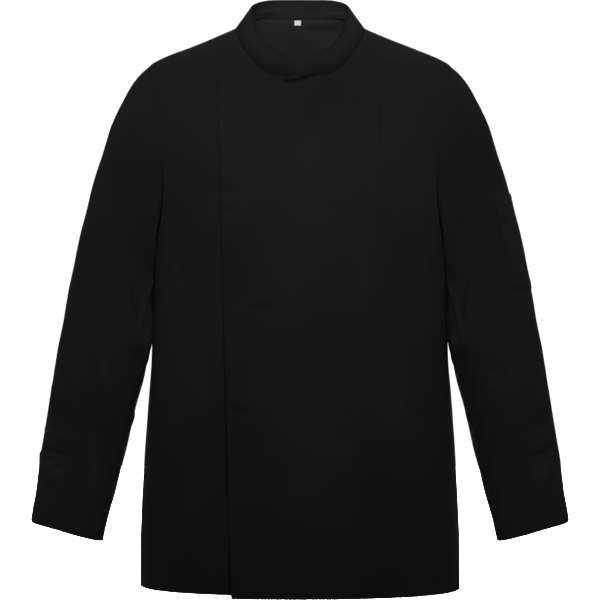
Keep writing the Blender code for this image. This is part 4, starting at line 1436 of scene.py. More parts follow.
def add_marks(wall, edge, hem, seam=FAR, crevice_shade=0.0, tone=1.0):
    """Store what the finish needs at each place of the cloth.

    edge, hem and seam are distances from topstitched edges, turned hems and joining seams,
    crevice is how dark the painted shade along the seam is, from 0 to 1, and tone makes the cloth
    lighter or darker, mostly with painted light and shade.
    """
    shape = wall.outer.shape[:2]
    marks = {"edge": edge, "hem": hem, "seam": seam}
    for name, distance in marks.items():
        wall.marks[name] = np.broadcast_to(np.minimum(distance, FAR), shape)
    wall.marks["crevice_shade"] = np.broadcast_to(crevice_shade, shape)
    wall.marks["tone"] = np.broadcast_to(tone, shape)


def stitching():
    sizes = bpy.context.scene.jacket_sizes
    return Thread(sizes.stitch_pitch, sizes.stitch_length, sizes.thread)


HEM_RAMP = 0.003
HEM_OUTWARD = 0.4


def hem_layer(hem_distance, depth):
    """Share of a turned hem's second layer at a distance from its edge."""
    return smooth_step((depth - hem_distance) / HEM_RAMP + 0.5)


# Shares of the first or last step of a net at which lines of points are added
CLOSE = (0.2, 0.45, 0.72)


def closer_edges(net, left=(), right=(), bottom=(), top=()):
    """Add lines of points to a net near its edges, at shares of the first or last step."""
    def near_start(net, shares):
        extra = [net[:, :1] + (net[:, 1:2] - net[:, :1]) * share for share in shares]
        return np.concatenate([net[:, :1], *extra, net[:, 1:]], axis=1)

    net = near_start(net, left)
    net = near_start(net[:, ::-1], right)[:, ::-1]
    net = near_start(net.transpose(1, 0, 2), bottom)
    return near_start(net[:, ::-1], top)[:, ::-1].transpose(1, 0, 2)


CLEFT_START = Below(-0.135, 0.20)
CLEFT_DEPTH = 0.0018
CLEFT_WIDTH = 0.0060
# Painted highlight along the armhole seam near the shoulder: how pale, how wide, and from what height
SEAM_LIGHT = 0.2
SEAM_LIGHT_WIDTH = 0.0018
SEAM_LIGHT_START = -0.21
SEAM_LIGHT_RAMP = 0.06


def armhole_depth(z):
    """Depth of the armhole seam between body and sleeve, and of its painted shade: more at the underarm."""
    return below(z, CLEFT_START)


def cleft(armhole, z):
    """How far the body's cloth sinks at a distance from the armhole seam."""
    return CLEFT_DEPTH * armhole_depth(z) * hump(armhole, 0.0, CLEFT_WIDTH)


def seam_painted_light(distance, z):
    """Painted highlight along the armhole seam at the shoulder: how much paler the cloth is there."""
    high = smooth_step((z - SEAM_LIGHT_START) / SEAM_LIGHT_RAMP)
    return 1 + SEAM_LIGHT * hump(distance, 0.0, SEAM_LIGHT_WIDTH) * high


# The left front where it lies over the right one
EDGE_LIFT = 0.0022
EDGE_LIFT_REACH = 0.05
EDGE_LIFT_START = Below(-0.30, 0.35)
EDGE_ROLL = 0.0006
EDGE_ROLL_REACH = 0.0035


def lay_over(rise, points, edge):
    """Raise the left front over the right one, and lift and roll its free edge."""
    rise = rise + layer_rise(points)
    rise = rise + EDGE_LIFT * smooth_step(1 - edge / EDGE_LIFT_REACH) * below(points[..., 2], EDGE_LIFT_START)
    return rise - EDGE_ROLL * (1 - smooth_step(edge / EDGE_ROLL_REACH)) ** 2


# The right front where the left one covers it
COVER_RAMP = 0.004
COVER_DIP = 0.0009
COVER_DIP_PAST = 0.001
COVER_DIP_REACH = 0.004
# Painted shadow of the left front's edge on the right front: its width, where it widens, how dark it is
COVER_SHADE_WIDTH = 0.0022
COVER_SHADE_WIDENS = Below(EDGE_TOP_Z, 0.45)
COVER_SHADE_PAST = 0.004
COVER_SHADE_TOP = 0.25
COVER_SHADE_START = 0.85
COVER_SHADE_GAIN = 0.15
COVER_SHADE_GROWS = Below(EDGE_TOP_Z, 0.40)


def lay_under(rise, x, z):
    """Give the right front the left one's creases under it, and press it down along its edge."""
    past = -x - edge_x("left_front", z)
    covered = smooth_step((x + edge_x("left_front", z)) / COVER_RAMP)
    rise = rise + crease_height(x, z, LEFT_FRONT_CREASES) * covered
    return rise - COVER_DIP * hump(past, COVER_DIP_PAST, COVER_DIP_REACH) * (z < EDGE_TOP_Z)


def edge_shade(x, z):
    """Distance on the right front from the left one's edge, for its painted shadow, and how dark it is."""
    corner_x = EDGE_X["left_front"][0]
    width = COVER_SHADE_WIDTH + COVER_SHADE_WIDTH * below(z, COVER_SHADE_WIDENS)
    far = FAR / width
    past = np.abs(-x - edge_x("left_front", z)) / width
    past = np.where(z < EDGE_TOP_Z + COVER_SHADE_PAST, past, far)
    above = np.abs(z - edge_top_z(np.clip(-x, COLLAR_END_X, corner_x))) / COVER_SHADE_WIDTH
    above = np.where((-x > COLLAR_END_X) & (-x < corner_x), above, far)
    depth = COVER_SHADE_START + COVER_SHADE_GAIN * below(z, COVER_SHADE_GROWS)
    return np.minimum(past, above) * CREVICE_WIDTH, np.where(z > EDGE_TOP_Z, COVER_SHADE_TOP, depth)


# Painted light down the middle of the fronts, and painted shade towards their side seams
MIDDLE_LIGHT = 0.25
MIDDLE_X = 0.010
MIDDLE_REACH = 0.095
MIDDLE_START = Below(-0.09, 0.10)
MIDDLE_FADES = Below(-0.60, 0.12)
MIDDLE_LOSS = 0.4
SIDE_SHADE = 0.22
SIDE_SHADE_REACH = 0.045
SIDE_SHADE_START = Below(-0.22, 0.10)


def front_tone(x, z, from_side, armhole, fine):
    """Painted light and shade of a front's cloth."""
    # Painted light down the middle, weaker towards the hem, and painted shade by the side seam
    worn = below(z, MIDDLE_START) * (1 - MIDDLE_LOSS * below(z, MIDDLE_FADES))
    middle = 1 + MIDDLE_LIGHT * hump(x, MIDDLE_X, MIDDLE_REACH) * worn
    beside = smooth_step(1 - from_side / SIDE_SHADE_REACH) * below(z, SIDE_SHADE_START)
    return crease_light_and_shade(fine) * (1 - SIDE_SHADE * beside) * middle * seam_painted_light(armhole, z)


SETTLED_REACH = 0.03
CREASE_CLEAR = 0.006
# Painted shade along the neck seam, darkest and widest in the painted shadow under the collar's crossing
NECK_CREVICE = 0.20
CROSSING_CREVICE = 0.85
CROSSING_SHADE_X = 0.004
CROSSING_SHADE_REACH = 0.022
CROSSING_SHADE_GAIN = 0.4
STITCH_CLEAR = 0.001


def make_front(node, side, creases):
    """One front; side is 1 for the wearer's left and -1 for the right."""
    sizes = bpy.context.scene.jacket_sizes
    base = closer_edges(front_points(node), left=CLOSE, right=CLOSE, bottom=CLOSE, top=CLOSE)
    normal = body_normal(base)
    base = seam_allowance(base, -1)
    if side < 0:
        placed, normal = mirrored(base), mirrored(normal)
    else:
        placed = base
    x, z = placed[..., 0], placed[..., 2]
    left, right, bottom, top = distances(base)
    armhole = np.where(z > UNDERARM_Z, right, FAR)
    settled = smooth_step(np.minimum(np.minimum(right, top), bottom) / SETTLED_REACH)
    clear = smooth_step(right / CREASE_CLEAR) * smooth_step(top / CREASE_CLEAR)
    fine = crease_height(x, z, creases) * clear
    second = hem_layer(bottom, sizes.hem)
    rise = body_folds(placed) + side_fullness(placed) + ripple_height(x, z) * settled
    rise = rise + fine - cleft(armhole, z) + second * sizes.hem_extra * HEM_OUTWARD

    column = np.arange(base.shape[1])[None, :]
    collar_start = EDGE_STEPS + len(CLOSE)
    at_neck = (column >= collar_start) & (column < collar_start + END_STEPS + NECK_STEPS)
    # Painted shadow under the collar's crossing, and painted shade along the neck and armhole seams
    under_crossing = hump(x, CROSSING_SHADE_X, CROSSING_SHADE_REACH)
    neck = np.where(at_neck, top * (1 - CROSSING_SHADE_GAIN * under_crossing), FAR)
    neck_shade = NECK_CREVICE + (CROSSING_CREVICE - NECK_CREVICE) * under_crossing
    seam = np.minimum(neck, armhole)
    crevice_shade = np.where(armhole < neck, armhole_depth(z), neck_shade)
    if node == "left_front":
        rise = lay_over(rise, placed, left)
    else:
        rise = lay_under(rise, x, z)
        # Painted shadow beside the left front's edge
        cover, cover_shade = edge_shade(x, z)
        crevice_shade = np.where(cover < seam, cover_shade, crevice_shade)
        seam = np.minimum(seam, cover)

    outer = placed + normal * rise[..., None]
    wall = Wall(outer, normal, (sizes.cloth + second * sizes.hem_extra)[..., None], flip=side < 0)
    edge = np.minimum(left, np.where(column > collar_start, FAR, top))
    add_marks(wall, edge, bottom, seam, crevice_shade, front_tone(x, z, right, armhole, fine))
    piece = wall.build(node + "_cloth", twill_finish())
    inset = sizes.edge_inset
    top_points, top_ups = inset_line(wall, "top", inset)
    sewing = stitch_mesh(
        node + "_stitches",
        [
            trimmed(*inset_line(wall, "left", inset), STITCH_CLEAR, inset),
            trimmed(*inset_line(wall, "bottom", sizes.hem), STITCH_CLEAR, STITCH_CLEAR),
            trimmed(top_points[-collar_start:], top_ups[-collar_start:], STITCH_CLEAR, inset),
        ],
        stitching(),
        thread_finish(),
    )
    finish_piece(piece, node, [sewing])
    return piece, sewing


BACK_RIPPLE_SHIFT = 0.4
# Painted light on the inside of the back neck, growing from a height upwards
BACK_NECK_LIGHT = 1.0
BACK_NECK_START = -0.13
BACK_NECK_RAMP = 0.06


def make_back():
    """Back, from side seam to side seam."""
    sizes = bpy.context.scene.jacket_sizes
    base = closer_edges(back_points(), left=CLOSE, right=CLOSE, bottom=CLOSE, top=CLOSE)
    normal = body_normal(base)
    base = seam_allowance(base, 1)
    x, z = base[..., 0], base[..., 2]
    left, right, bottom, top = distances(base)
    from_side = np.minimum(left, right)
    armhole = np.where(z > UNDERARM_Z, from_side, FAR)
    neck = np.where(np.abs(x) < NECK_HALF_WIDTH, top, FAR)
    settled = smooth_step(np.minimum(from_side, bottom) / SETTLED_REACH)
    second = hem_layer(bottom, sizes.hem)
    fine = crease_height(x, z, BACK_CREASES) * smooth_step(from_side / CREASE_CLEAR)
    rise = body_folds(base) + side_fullness(base) + ripple_height(x + BACK_RIPPLE_SHIFT, z) * settled
    rise = rise + second * sizes.hem_extra * HEM_OUTWARD + fine - cleft(armhole, z)
    outer = base + normal * rise[..., None]
    wall = Wall(outer, normal, (sizes.cloth + second * sizes.hem_extra)[..., None], flip=True)
    # Painted shade along the armhole and neck seams, and painted light and shade of the creases
    crevice_shade = np.where(armhole < neck, armhole_depth(z), NECK_CREVICE)
    add_marks(wall, FAR, bottom, np.minimum(neck, armhole), crevice_shade, crease_light_and_shade(fine))
    # Painted light inside the back neck, with painted light and shade in soft bands
    in_neck = smooth_step((z - BACK_NECK_START) / BACK_NECK_RAMP)
    wall.inner_tone = BACK_NECK_LIGHT * in_neck + crease_height(x, z, BACK_NECK_TONES)
    piece = wall.build("back_cloth", twill_finish())
    hem_run = trimmed(*inset_line(wall, "bottom", sizes.hem), STITCH_CLEAR, STITCH_CLEAR)
    sewing = stitch_mesh("back_stitches", [hem_run], stitching(), thread_finish())
    finish_piece(piece, "back", [sewing])
    return piece, sewing


SLEEVE_FULLNESS = 0.0012
SLEEVE_FULLNESS_START = 0.60
SLEEVE_FULLNESS_RAMP = 0.12
SLEEVE_FULLNESS_END = 0.90
SLEEVE_FULLNESS_END_RAMP = 0.08
SLEEVE_RIPPLE_SHIFT = 0.15
SLEEVE_CREASE_END = 0.97

# The front of the sleeve leans over the body's side between two heights
DRAPE_OVER = 0.0130
DRAPE_TURN = 2.45
DRAPE_SPREAD = 0.55
DRAPE_START = Below(-0.235, 0.07)
DRAPE_END_Z = -0.438
DRAPE_END_RAMP = 0.036

# A crease fades out where the sleeve turns from the front to the back
FACING_GAIN = 4


def sleeve_stations():
    """Places of the rings of points along the sleeve, closer where it creases and at its ends."""
    fine = np.linspace(0, 1, FINE_STEPS)
    rows = np.concatenate([[0.0], np.cumsum(np.diff(fine) / row_spacing(fine[1:])[:, 0])])
    along = np.interp(np.linspace(0, rows[-1], SLEEVE_STEPS + 1), rows, fine)
    first, last = along[1], 1 - along[-2]
    near = np.array(CLOSE)
    return np.concatenate([[0.0], first * near, along[1:-1], 1 - last * near[::-1], [1.0]])


def drape(tube, turn):
    """Lean the front of the sleeve over the side of the body, as hanging cloth does."""
    z = tube[..., 2]
    in_front = hump(turn, DRAPE_TURN, DRAPE_SPREAD)
    beside_body = smooth_step((z - DRAPE_END_Z) / DRAPE_END_RAMP) * below(z, DRAPE_START)
    tube[..., 0] = tube[..., 0] - DRAPE_OVER * in_front * beside_body


def sleeve_points(folds, creases_front, creases_back):
    """Points and outward normals of the left sleeve, in rings from the armhole to the end."""
    turn = np.concatenate([TURN - armhole_turns(1), armhole_turns(-1)[::-1][1:-1]])
    along = sleeve_stations()
    tube = sleeve_surface(along, turn, folds)
    normal = ring_normals(tube)
    along = along[:, None]
    at_seam = 1 - smooth_step(along / SEAM_RAMP)
    drape(tube, np.mod(turn, TURN)[None, :])
    keep_clear(tube, along)
    x, z = tube[..., 0], tube[..., 2]
    facing = np.sin(turn)[None, :]
    fine = crease_height(x, z, creases_front) * smooth_step(facing * FACING_GAIN)
    fine = fine + crease_height(x, z, creases_back) * smooth_step(-facing * FACING_GAIN)
    at_end = smooth_step((along - SLEEVE_CREASE_END) / (1 - SLEEVE_CREASE_END))
    fine = fine * (1 - at_seam) * (1 - at_end)
    full = smooth_step((along - SLEEVE_FULLNESS_START) / SLEEVE_FULLNESS_RAMP)
    full = full * (1 - smooth_step((along - SLEEVE_FULLNESS_END) / SLEEVE_FULLNESS_END_RAMP))
    rise = fine + ripple_height(x + SLEEVE_RIPPLE_SHIFT * facing, z) * (1 - at_seam)
    rise = rise + SLEEVE_FULLNESS * full
    tube = tube + normal * rise[..., None]
    keep_clear(tube, along)
    lean = np.maximum(normal[..., 0], 0.0) * bpy.context.scene.jacket_sizes.cloth * at_seam
    tube[..., 0] = tube[..., 0] + lean
    return tube, normal, fine


def ring_normals(rings):
    """Outward normals of a tube of rings that run from the top to the front."""
    round_it = np.roll(rings, -1, axis=1) - np.roll(rings, 1, axis=1)
    return unit(np.cross(round_it, np.gradient(rings, axis=0)))


# Painted shade on the sleeve beside the body: where it ends below, and how far onto the sleeve it reaches
CLEFT_END_Z = -0.450
CLEFT_END_RAMP = 0.03
SLEEVE_SIDE_REACH = 0.55


def make_sleeve(node, side, folds, creases_front, creases_back):
    """One sleeve; side is 1 for the wearer's left and -1 for the right."""
    sizes = bpy.context.scene.jacket_sizes
    outer, normal, fine = sleeve_points(folds, creases_front, creases_back)
    steps = np.linalg.norm(np.diff(outer, axis=0), axis=2)
    from_top = np.concatenate([np.zeros((1, outer.shape[1])), np.cumsum(steps, axis=0)])
    to_end = from_top[-1:] - from_top
    second = hem_layer(to_end, sizes.cuff_hem)
    outer = outer + normal * (second * sizes.hem_extra * HEM_OUTWARD)[..., None]
    if side < 0:
        outer, normal = mirrored(outer), mirrored(normal)
    thickness = (sizes.cloth + second * sizes.hem_extra)[..., None]
    wall = Wall(outer, normal, thickness, closed=True, flip=side < 0)
    z = outer[..., 2]
    off_body = np.abs(outer[..., 0]) - side_x(outer[..., 1], z)
    to_body = np.maximum(np.minimum(from_top, off_body), 0.0)
    # Painted shade on the sleeve where it lies by the body, darker towards the underarm
    depth = armhole_depth(z) * smooth_step((z - CLEFT_END_Z) / CLEFT_END_RAMP)
    # Painted light and shade of creases and a painted highlight by the armhole seam
    tone = crease_light_and_shade(fine) * sleeve_tone_along(from_top / from_top[-1:])[..., 0] * seam_painted_light(from_top, z)
    add_marks(wall, FAR, to_end + (sizes.hem - sizes.cuff_hem), to_body * SLEEVE_SIDE_REACH, depth, tone)
    piece = wall.build(node + "_cloth", twill_finish())
    points, ups = inset_line(wall, "top", sizes.cuff_hem)
    run = (np.vstack([points, points[:1]]), np.vstack([ups, ups[:1]]))
    sewing = stitch_mesh(node + "_stitches", [run], stitching(), thread_finish())
    finish_piece(piece, node, [sewing])
    return piece, sewing


COLLAR_BULGE = 0.0008
CROSSING_DIP = 0.0006
COLLAR_TONE = 1.12
# Painted shade on the front of the collar, towards its base seam and along its top rim
COLLAR_SHADE = 0.42
COLLAR_SHADE_REACH = 0.024
COLLAR_RIM_SHADE = 0.35
COLLAR_RIM_REACH = 0.0024
COLLAR_FRONT_START = Below(0.01, 0.03)
# Painted shade along the collar's base seam: how far it reaches, and darkest under the crossing
COLLAR_SEAM_REACH = 0.9
COLLAR_CREVICE = 0.15
COLLAR_CROSSING_CREVICE = 0.60
COLLAR_CROSSING_REACH = 0.028
# Painted light on the inside of the collar
COLLAR_INNER_LIGHT = 0.6


def collar_half():
    """Base and top of the collar's left half, from the back middle to the crossed end."""
    end_angle = neck_angle(COLLAR_END_X)
    around = np.concatenate([
        even_stations(neck_line, COLLAR_BACK_STEPS, 180.0, 90.0)[:-1],
        even_stations(neck_line, COLLAR_FRONT_STEPS, 90.0, 0.0)[:-1],
        even_stations(neck_line, COLLAR_END_STEPS, 0.0, -end_angle),
    ])
    base = sewn_neck(around)
    share = np.clip(-base[:, :1] / COLLAR_END_X, 0, 1)
    tip = base[-1] + np.array([0, 0, COLLAR_TIP_HEIGHT])
    crossing = (1 - share) * (collar_top(0.0) - [0, 0, CROSSING_DIP]) + share * tip
    dipped = base + (collar_top(around) - base) * (1 - rim_dip(around))
    top = np.where(around[:, None] < 0, crossing, dipped)
    return base, top


def make_collar():
    """Stand collar: one band from the wearer's right end round the back to the left end."""
    sizes = bpy.context.scene.jacket_sizes
    base, top = collar_half()
    rows = np.linspace(0, 1, COLLAR_STEPS + 1)[:, None, None]
    half = base[None] * (1 - rows) + top[None] * rows
    half = half + unit(top - base)[None] * SEAM_GAP * (1 - rows)
    plan = np.gradient(base, axis=0) * np.array([1, 1, 0])
    outward = unit(np.stack([-plan[:, 1], plan[:, 0], 0 * plan[:, 0]], axis=-1))
    outward = outward * np.sign((outward * (base * [1, 1, 0])).sum(axis=1))[:, None]
    front = base[:, 1] < 0
    rise = layer_rise(base) * front
    near_end = smooth_step((CROSSING_REACH - base[:, 0]) / COLLAR_END_X) * front
    past_rise = (sizes.collar_cloth + SEAM_GAP) * near_end - rise
    shift = body_normal(base) * rise[:, None] + outward * np.maximum(past_rise, 0)[:, None]
    bulge = outward[None] * COLLAR_BULGE * np.sin(math.pi * rows)
    left = half + shift[None] + bulge
    right = mirrored(half + bulge)
    outer = np.concatenate([right[:, :0:-1], left], axis=1)
    outward_all = np.vstack([mirrored(outward)[:0:-1], outward])[None] + 0 * outer
    wall = Wall(outer, outward_all, sizes.collar_cloth, flip=True)
    start, end, bottom, top_distance = distances(outer)
    x, y, z = np.moveaxis(outer, -1, 0)
    at_front = below(y, COLLAR_FRONT_START)
    # Painted shade towards the base and along the top rim of the collar's front
    tone = COLLAR_TONE - COLLAR_SHADE * (1 - smooth_step(bottom / COLLAR_SHADE_REACH)) * at_front
    tone = tone - COLLAR_RIM_SHADE * (1 - smooth_step(top_distance / COLLAR_RIM_REACH)) * at_front
    edge = np.minimum(top_distance, np.minimum(start, end))
    # Painted shade along the base seam, darkest under the crossing
    crevice_shade = at_front * (COLLAR_CREVICE + COLLAR_CROSSING_CREVICE * hump(x, 0.0, COLLAR_CROSSING_REACH))
    add_marks(wall, edge, FAR, bottom * COLLAR_SEAM_REACH, crevice_shade, tone)
    # Painted light on the inside of the collar, with painted light and shade in soft bands
    wall.inner_tone = COLLAR_INNER_LIGHT + crease_height(x, z, COLLAR_INNER_TONES)
    piece = wall.build("collar_cloth", twill_finish())
    inset = sizes.edge_inset
    run = trimmed(*inset_line(wall, "top", inset), inset, inset)
    low = trimmed(*inset_line(wall, "bottom", inset), inset, inset)
    sewing = stitch_mesh("collar_stitches", [run, low], stitching(), thread_finish())
    finish_piece(piece, "collar", [sewing])
    return piece, sewing


def pocket_row(z, surface, turn):
    """Level row on the sleeve, from the pocket's front edge round to the outer side."""
    at_level = np.array([
        [np.interp(-z, -surface[:, k, 2], surface[:, k, axis]) for axis in range(3)]
        for k in range(len(turn))
    ])
    share = (POCKET_TOP_Z - z) / (POCKET_TOP_Z - POCKET_BOTTOM_Z)
    front_x = POCKET_TOP_X + (POCKET_BOTTOM_X - POCKET_TOP_X) * share
    length = run_length(at_level)
    widest = np.argmax(at_level[:, 0])
    start = np.interp(front_x, at_level[:widest, 0], length[:widest])
    wanted = np.linspace(start, start + POCKET_WIDTH, POCKET_STEPS_ROUND + 1)
    return np.stack([np.interp(wanted, length, at_level[:, axis]) for axis in range(3)], axis=-1)


POCKET_FLAT_REACH = 0.006
POCKET_EDGE_FLAT = 0.0006
POCKET_GAPE = 0.0002
POCKET_GAPE_REACH = 0.05
POCKET_PRESSED = 0.8


def make_pocket():
    """Pen pocket, made from the points of the sleeve under it and moved out."""
    sizes = bpy.context.scene.jacket_sizes
    turn = np.radians(np.linspace(*POCKET_REACH_ROUND, FINE_STEPS // 2))
    along = np.linspace(*POCKET_REACH_ALONG, FINE_STEPS)
    surface = sleeve_surface(along, turn, LEFT_SLEEVE_FOLDS)
    levels = np.linspace(POCKET_BOTTOM_Z, POCKET_TOP_Z, POCKET_STEPS_DOWN + 1)
    net = np.array([pocket_row(z, surface, turn) for z in levels])
    normal = net_normals(net)
    x, z = net[..., 0], net[..., 2]
    left, right, bottom, top = distances(net)
    sewn_edge = np.minimum(np.minimum(left, right), bottom)
    inside = smooth_step(sewn_edge / POCKET_FLAT_REACH)
    flat = POCKET_EDGE_FLAT * (1 - inside)
    creases = crease_height(x, z, POCKET_CREASES)
    rise = np.maximum(creases, 0) + POCKET_GAPE * inside * smooth_step(1 - top / POCKET_GAPE_REACH)
    rise = rise + np.minimum(creases, 0) * inside
    rise = rise + ripple_height(x - SLEEVE_RIPPLE_SHIFT * normal[..., 1], z) - flat
    cloth = sizes.cloth * POCKET_PRESSED
    outer = net + normal * (POCKET_GAP + cloth + rise)[..., None]
    wall = Wall(outer, normal, (cloth - flat)[..., None])
    # Painted light and shade of the pocket's creases
    add_marks(wall, np.minimum(sewn_edge, top), FAR, tone=crease_light_and_shade(creases))
    piece = wall.build("sleeve_pocket_cloth", twill_finish())
    inset = sizes.edge_inset
    runs = [trimmed(*inset_line(wall, edge, inset), inset, inset) for edge in ("left", "right", "bottom")]
    top_run = trimmed(*inset_line(wall, "top", sizes.hem / 2), inset, inset)
    sewing = stitch_mesh("sleeve_pocket_stitches", [*runs, top_run], stitching(), thread_finish())
    finish_piece(piece, "sleeve_pocket", [sewing])
    return piece, sewing


LABEL_LIFT = 0.0004


def make_label():
    """Small blank tab on the inside of the back, under the collar."""
    sizes = bpy.context.scene.jacket_sizes
    across = np.linspace(LABEL_X + LABEL_WIDTH / 2, LABEL_X - LABEL_WIDTH / 2, LABEL_STEPS + 1)
    up = np.linspace(LABEL_TOP_Z - LABEL_DROP, LABEL_TOP_Z, LABEL_STEPS + 1)
    x, z = np.meshgrid(across, up)
    net = np.stack([x, face_y(x, z, 1), z], axis=-1)
    inward = -body_normal(net)
    lift = LABEL_LIFT * smooth_step((LABEL_TOP_Z - z) / LABEL_DROP)
    outer = net + inward * (sizes.cloth + LABEL_GAP + sizes.label_cloth + lift)[..., None]
    wall = Wall(outer, inward, sizes.label_cloth)
    add_marks(wall, FAR, FAR)
    piece = wall.build("size_label_tape", label_finish())
    finish_piece(piece, "size_label")
    return piece


# ---------------------------------------------------------------- studio


def aim(thing, target):
    """Turn a lamp or camera so that it looks at a place."""
    thing.rotation_euler = (Vector(target) - thing.location).to_track_quat("-Z", "Y").to_euler()


def place_lamp(name, place, target, width, power, spread):
    """Round soft light that the camera doesn't see."""
    lamp = bpy.data.lights.new(name, "AREA")
    lamp.shape = "DISK"
    lamp.size = width
    lamp.energy = power
    lamp.spread = math.radians(spread)
    thing = add_object(name, lamp)
    thing.location = place
    aim(thing, target)
    thing.visible_camera = False
    return thing


# Softboxes, each with a share of the key light's power
Softbox = namedtuple("Softbox", "name place target share")
SOFTBOXES = (
    Softbox("key_softbox", (0.0, -2.2, 0.6), (0.0, -0.1, 0.15), 1.0),
    Softbox("back_softbox", (0.0, 2.4, 0.6), (0.0, 0.1, 0.0), 0.8),
    Softbox("side_softbox", (-2.3, 0.3, 0.3), (-0.2, 0.0, -0.2), 0.03),
    Softbox("side_softbox", (2.3, 0.3, 0.3), (0.2, 0.0, -0.2), 0.03),
)
SOFTBOX_WIDTH = 0.9
SOFTBOX_SPREAD = 50
FLOOR_LIGHT_PLACE = (0.0, 5.0, 2.6)
FLOOR_LIGHT_Y = 6.0
FLOOR_LIGHT_WIDTH = 3.0
FLOOR_LIGHT_SPREAD = 110
FLOOR_HALF_WIDTH = 9.0
FLOOR_PATCH_SCALE = 1.5
FLOOR_TONES = (0.95, 0.97)
BACKDROP_EDGE = (0.962, 0.984)
SENSOR_WIDTH = 36.0


def make_floor(level):
    """Wide pale floor."""
    half = FLOOR_HALF_WIDTH
    mesh = bpy.data.meshes.new("floor")
    corners = [(-half, -half, level), (half, -half, level), (half, half, level), (-half, half, level)]
    mesh.from_pydata(corners, [], [(0, 1, 2, 3)])
    made, tree, shader = start_material("pale_floor", Roughness=0.9, Specular_IOR_Level=0.2)
    patches = noise(tree, room_place(tree), FLOOR_PATCH_SCALE, 2.0)
    tone = ramp(tree, patches, 0.3, 0.7, *FLOOR_TONES)
    joined = place_node(tree, "ShaderNodeCombineColor")
    for socket in joined.inputs:
        feed(tree, socket, tone)
    feed(tree, shader.inputs["Base Color"], joined.outputs[0])
    mesh.materials.append(made)
    return add_object("floor", mesh)


def make_surroundings(sky, backdrop):
    """White all round, brighter behind the jacket."""
    world = bpy.data.worlds.new("studio")
    world.use_nodes = True
    tree = world.node_tree
    light = tree.nodes["Background"]
    light.inputs["Color"].default_value = rgba((1.0, 1.0, 1.0))
    parts = place_node(tree, "ShaderNodeSeparateXYZ")
    feed(tree, parts.inputs[0], place_node(tree, "ShaderNodeTexCoord").outputs["Generated"])
    strength = ramp(tree, parts.outputs["Y"], *BACKDROP_EDGE, sky, backdrop)
    feed(tree, light.inputs["Strength"], strength)
    return world


def make_camera(stage):
    """Camera that looks straight at the front of the jacket."""
    lens = bpy.data.cameras.new("camera")
    lens.sensor_width = SENSOR_WIDTH
    lens.lens = lens.sensor_width * stage.distance / stage.view
    camera = add_object("camera", lens)
    camera.location = (0.0, -stage.distance, stage.height)
    camera.rotation_euler = (math.pi / 2, 0.0, 0.0)
    return camera


def make_stage():
    """Pale floor, white surroundings, soft lights and the camera."""
    stage = bpy.context.scene.jacket_stage
    scene = bpy.context.scene
    scene.world = make_surroundings(stage.sky, stage.backdrop)
    scene.view_settings.view_transform = "Standard"
    floor = make_floor(stage.floor)
    lamps = [
        place_lamp(box.name, box.place, box.target, SOFTBOX_WIDTH, stage.key * box.share, SOFTBOX_SPREAD)
        for box in SOFTBOXES
    ]
    lamps.append(place_lamp(
        "floor_light", FLOOR_LIGHT_PLACE, (0.0, FLOOR_LIGHT_Y, stage.floor), FLOOR_LIGHT_WIDTH,
        stage.floor_light, FLOOR_LIGHT_SPREAD,
    ))
    camera = make_camera(stage)
    scene.camera = camera
    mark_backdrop(floor, *lamps, camera)


# ---------------------------------------------------------------- operators


# Width and length of the rectangle each piece is cut from, and the area of the piece
Cut = namedtuple("Cut", "flat area")


class JACKET_OT_fronts(bpy.types.Operator):
    """Make the two fronts with their topstitching"""

    bl_idname = "jacket.fronts"
    bl_label = "Fronts"

    def execute(self, context):
        rows = (
            ("left_front", 1, LEFT_FRONT_CREASES),
            ("right_front", -1, RIGHT_FRONT_CREASES),
        )
        for node, side, creases in rows:
            make_front(node, side, creases)
        return {"FINISHED"}


class JACKET_OT_back(bpy.types.Operator):
    """Make the back with its hem and the size label inside the neck"""

    bl_idname = "jacket.back"
    bl_label = "Back and label"

    def execute(self, context):
        piece, sewing = make_back()
        label = make_label()
        return {"FINISHED"}


class JACKET_OT_sleeves(bpy.types.Operator):
    """Make the two sleeves with their creases and end hems"""

    bl_idname = "jacket.sleeves"
    bl_label = "Sleeves"

    def execute(self, context):
        rows = (
            ("left_sleeve", 1, LEFT_SLEEVE_FOLDS, LEFT_SLEEVE_FRONT),
            ("right_sleeve", -1, RIGHT_SLEEVE_FOLDS, RIGHT_SLEEVE_FRONT),
        )
        for node, side, folds, creases in rows:
            make_sleeve(node, side, folds, creases, SLEEVE_BACK)
        return {"FINISHED"}


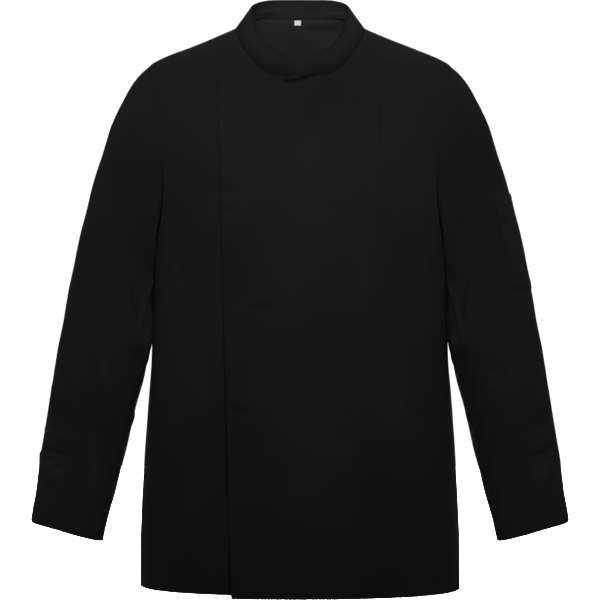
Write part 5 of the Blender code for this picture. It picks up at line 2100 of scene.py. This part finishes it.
class JACKET_OT_collar(bpy.types.Operator):
    """Make the stand collar"""

    bl_idname = "jacket.collar"
    bl_label = "Collar"

    def execute(self, context):
        make_collar()
        return {"FINISHED"}


class JACKET_OT_pocket(bpy.types.Operator):
    """Make the pen pocket on the left sleeve"""

    bl_idname = "jacket.pocket"
    bl_label = "Pen pocket"

    def execute(self, context):
        make_pocket()
        return {"FINISHED"}


class JACKET_OT_stage(bpy.types.Operator):
    """Make the floor, the light and the camera"""

    bl_idname = "jacket.stage"
    bl_label = "Studio"

    def execute(self, context):
        make_stage()
        return {"FINISHED"}


class JACKET_PT_panel(bpy.types.Panel):
    """Lists the jacket's settings and operators"""

    bl_idname = "JACKET_PT_panel"
    bl_label = "Chef Jacket"
    bl_space_type = "VIEW_3D"
    bl_region_type = "UI"
    bl_category = "Jacket"

    def draw(self, context):
        for settings in SETTINGS:
            group = getattr(context.scene, settings)
            for name in group.bl_rna.properties.keys():
                if name not in {"rna_type", "name"}:
                    self.layout.prop(group, name)
        for maker in OPERATORS:
            self.layout.operator(maker.bl_idname)


SETTINGS = {"jacket_sizes": JacketSizes, "jacket_finish": JacketFinish, "jacket_stage": JacketStage}
OPERATORS = (
    JACKET_OT_fronts,
    JACKET_OT_back,
    JACKET_OT_sleeves,
    JACKET_OT_collar,
    JACKET_OT_pocket,
    JACKET_OT_stage,
)
CLASSES = (*SETTINGS.values(), *OPERATORS, JACKET_PT_panel)


def register():
    for made in CLASSES:
        bpy.utils.register_class(made)
    for name, group in SETTINGS.items():
        setattr(bpy.types.Scene, name, PointerProperty(type=group))


def unregister():
    for name in SETTINGS:
        delattr(bpy.types.Scene, name)
    for made in reversed(CLASSES):
        bpy.utils.unregister_class(made)


def plain(bounds):
    """Bounds as lists of numbers."""
    return json.loads(json.dumps(bounds, default=list))


def main():
    register()
    sizes = {"cad": plain(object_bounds())}
    for maker in OPERATORS:
        category, name = maker.bl_idname.split(".")
        getattr(getattr(bpy.ops, category), name)()
    sizes["visual"] = plain(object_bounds())


if __name__ == "__main__":
    main()
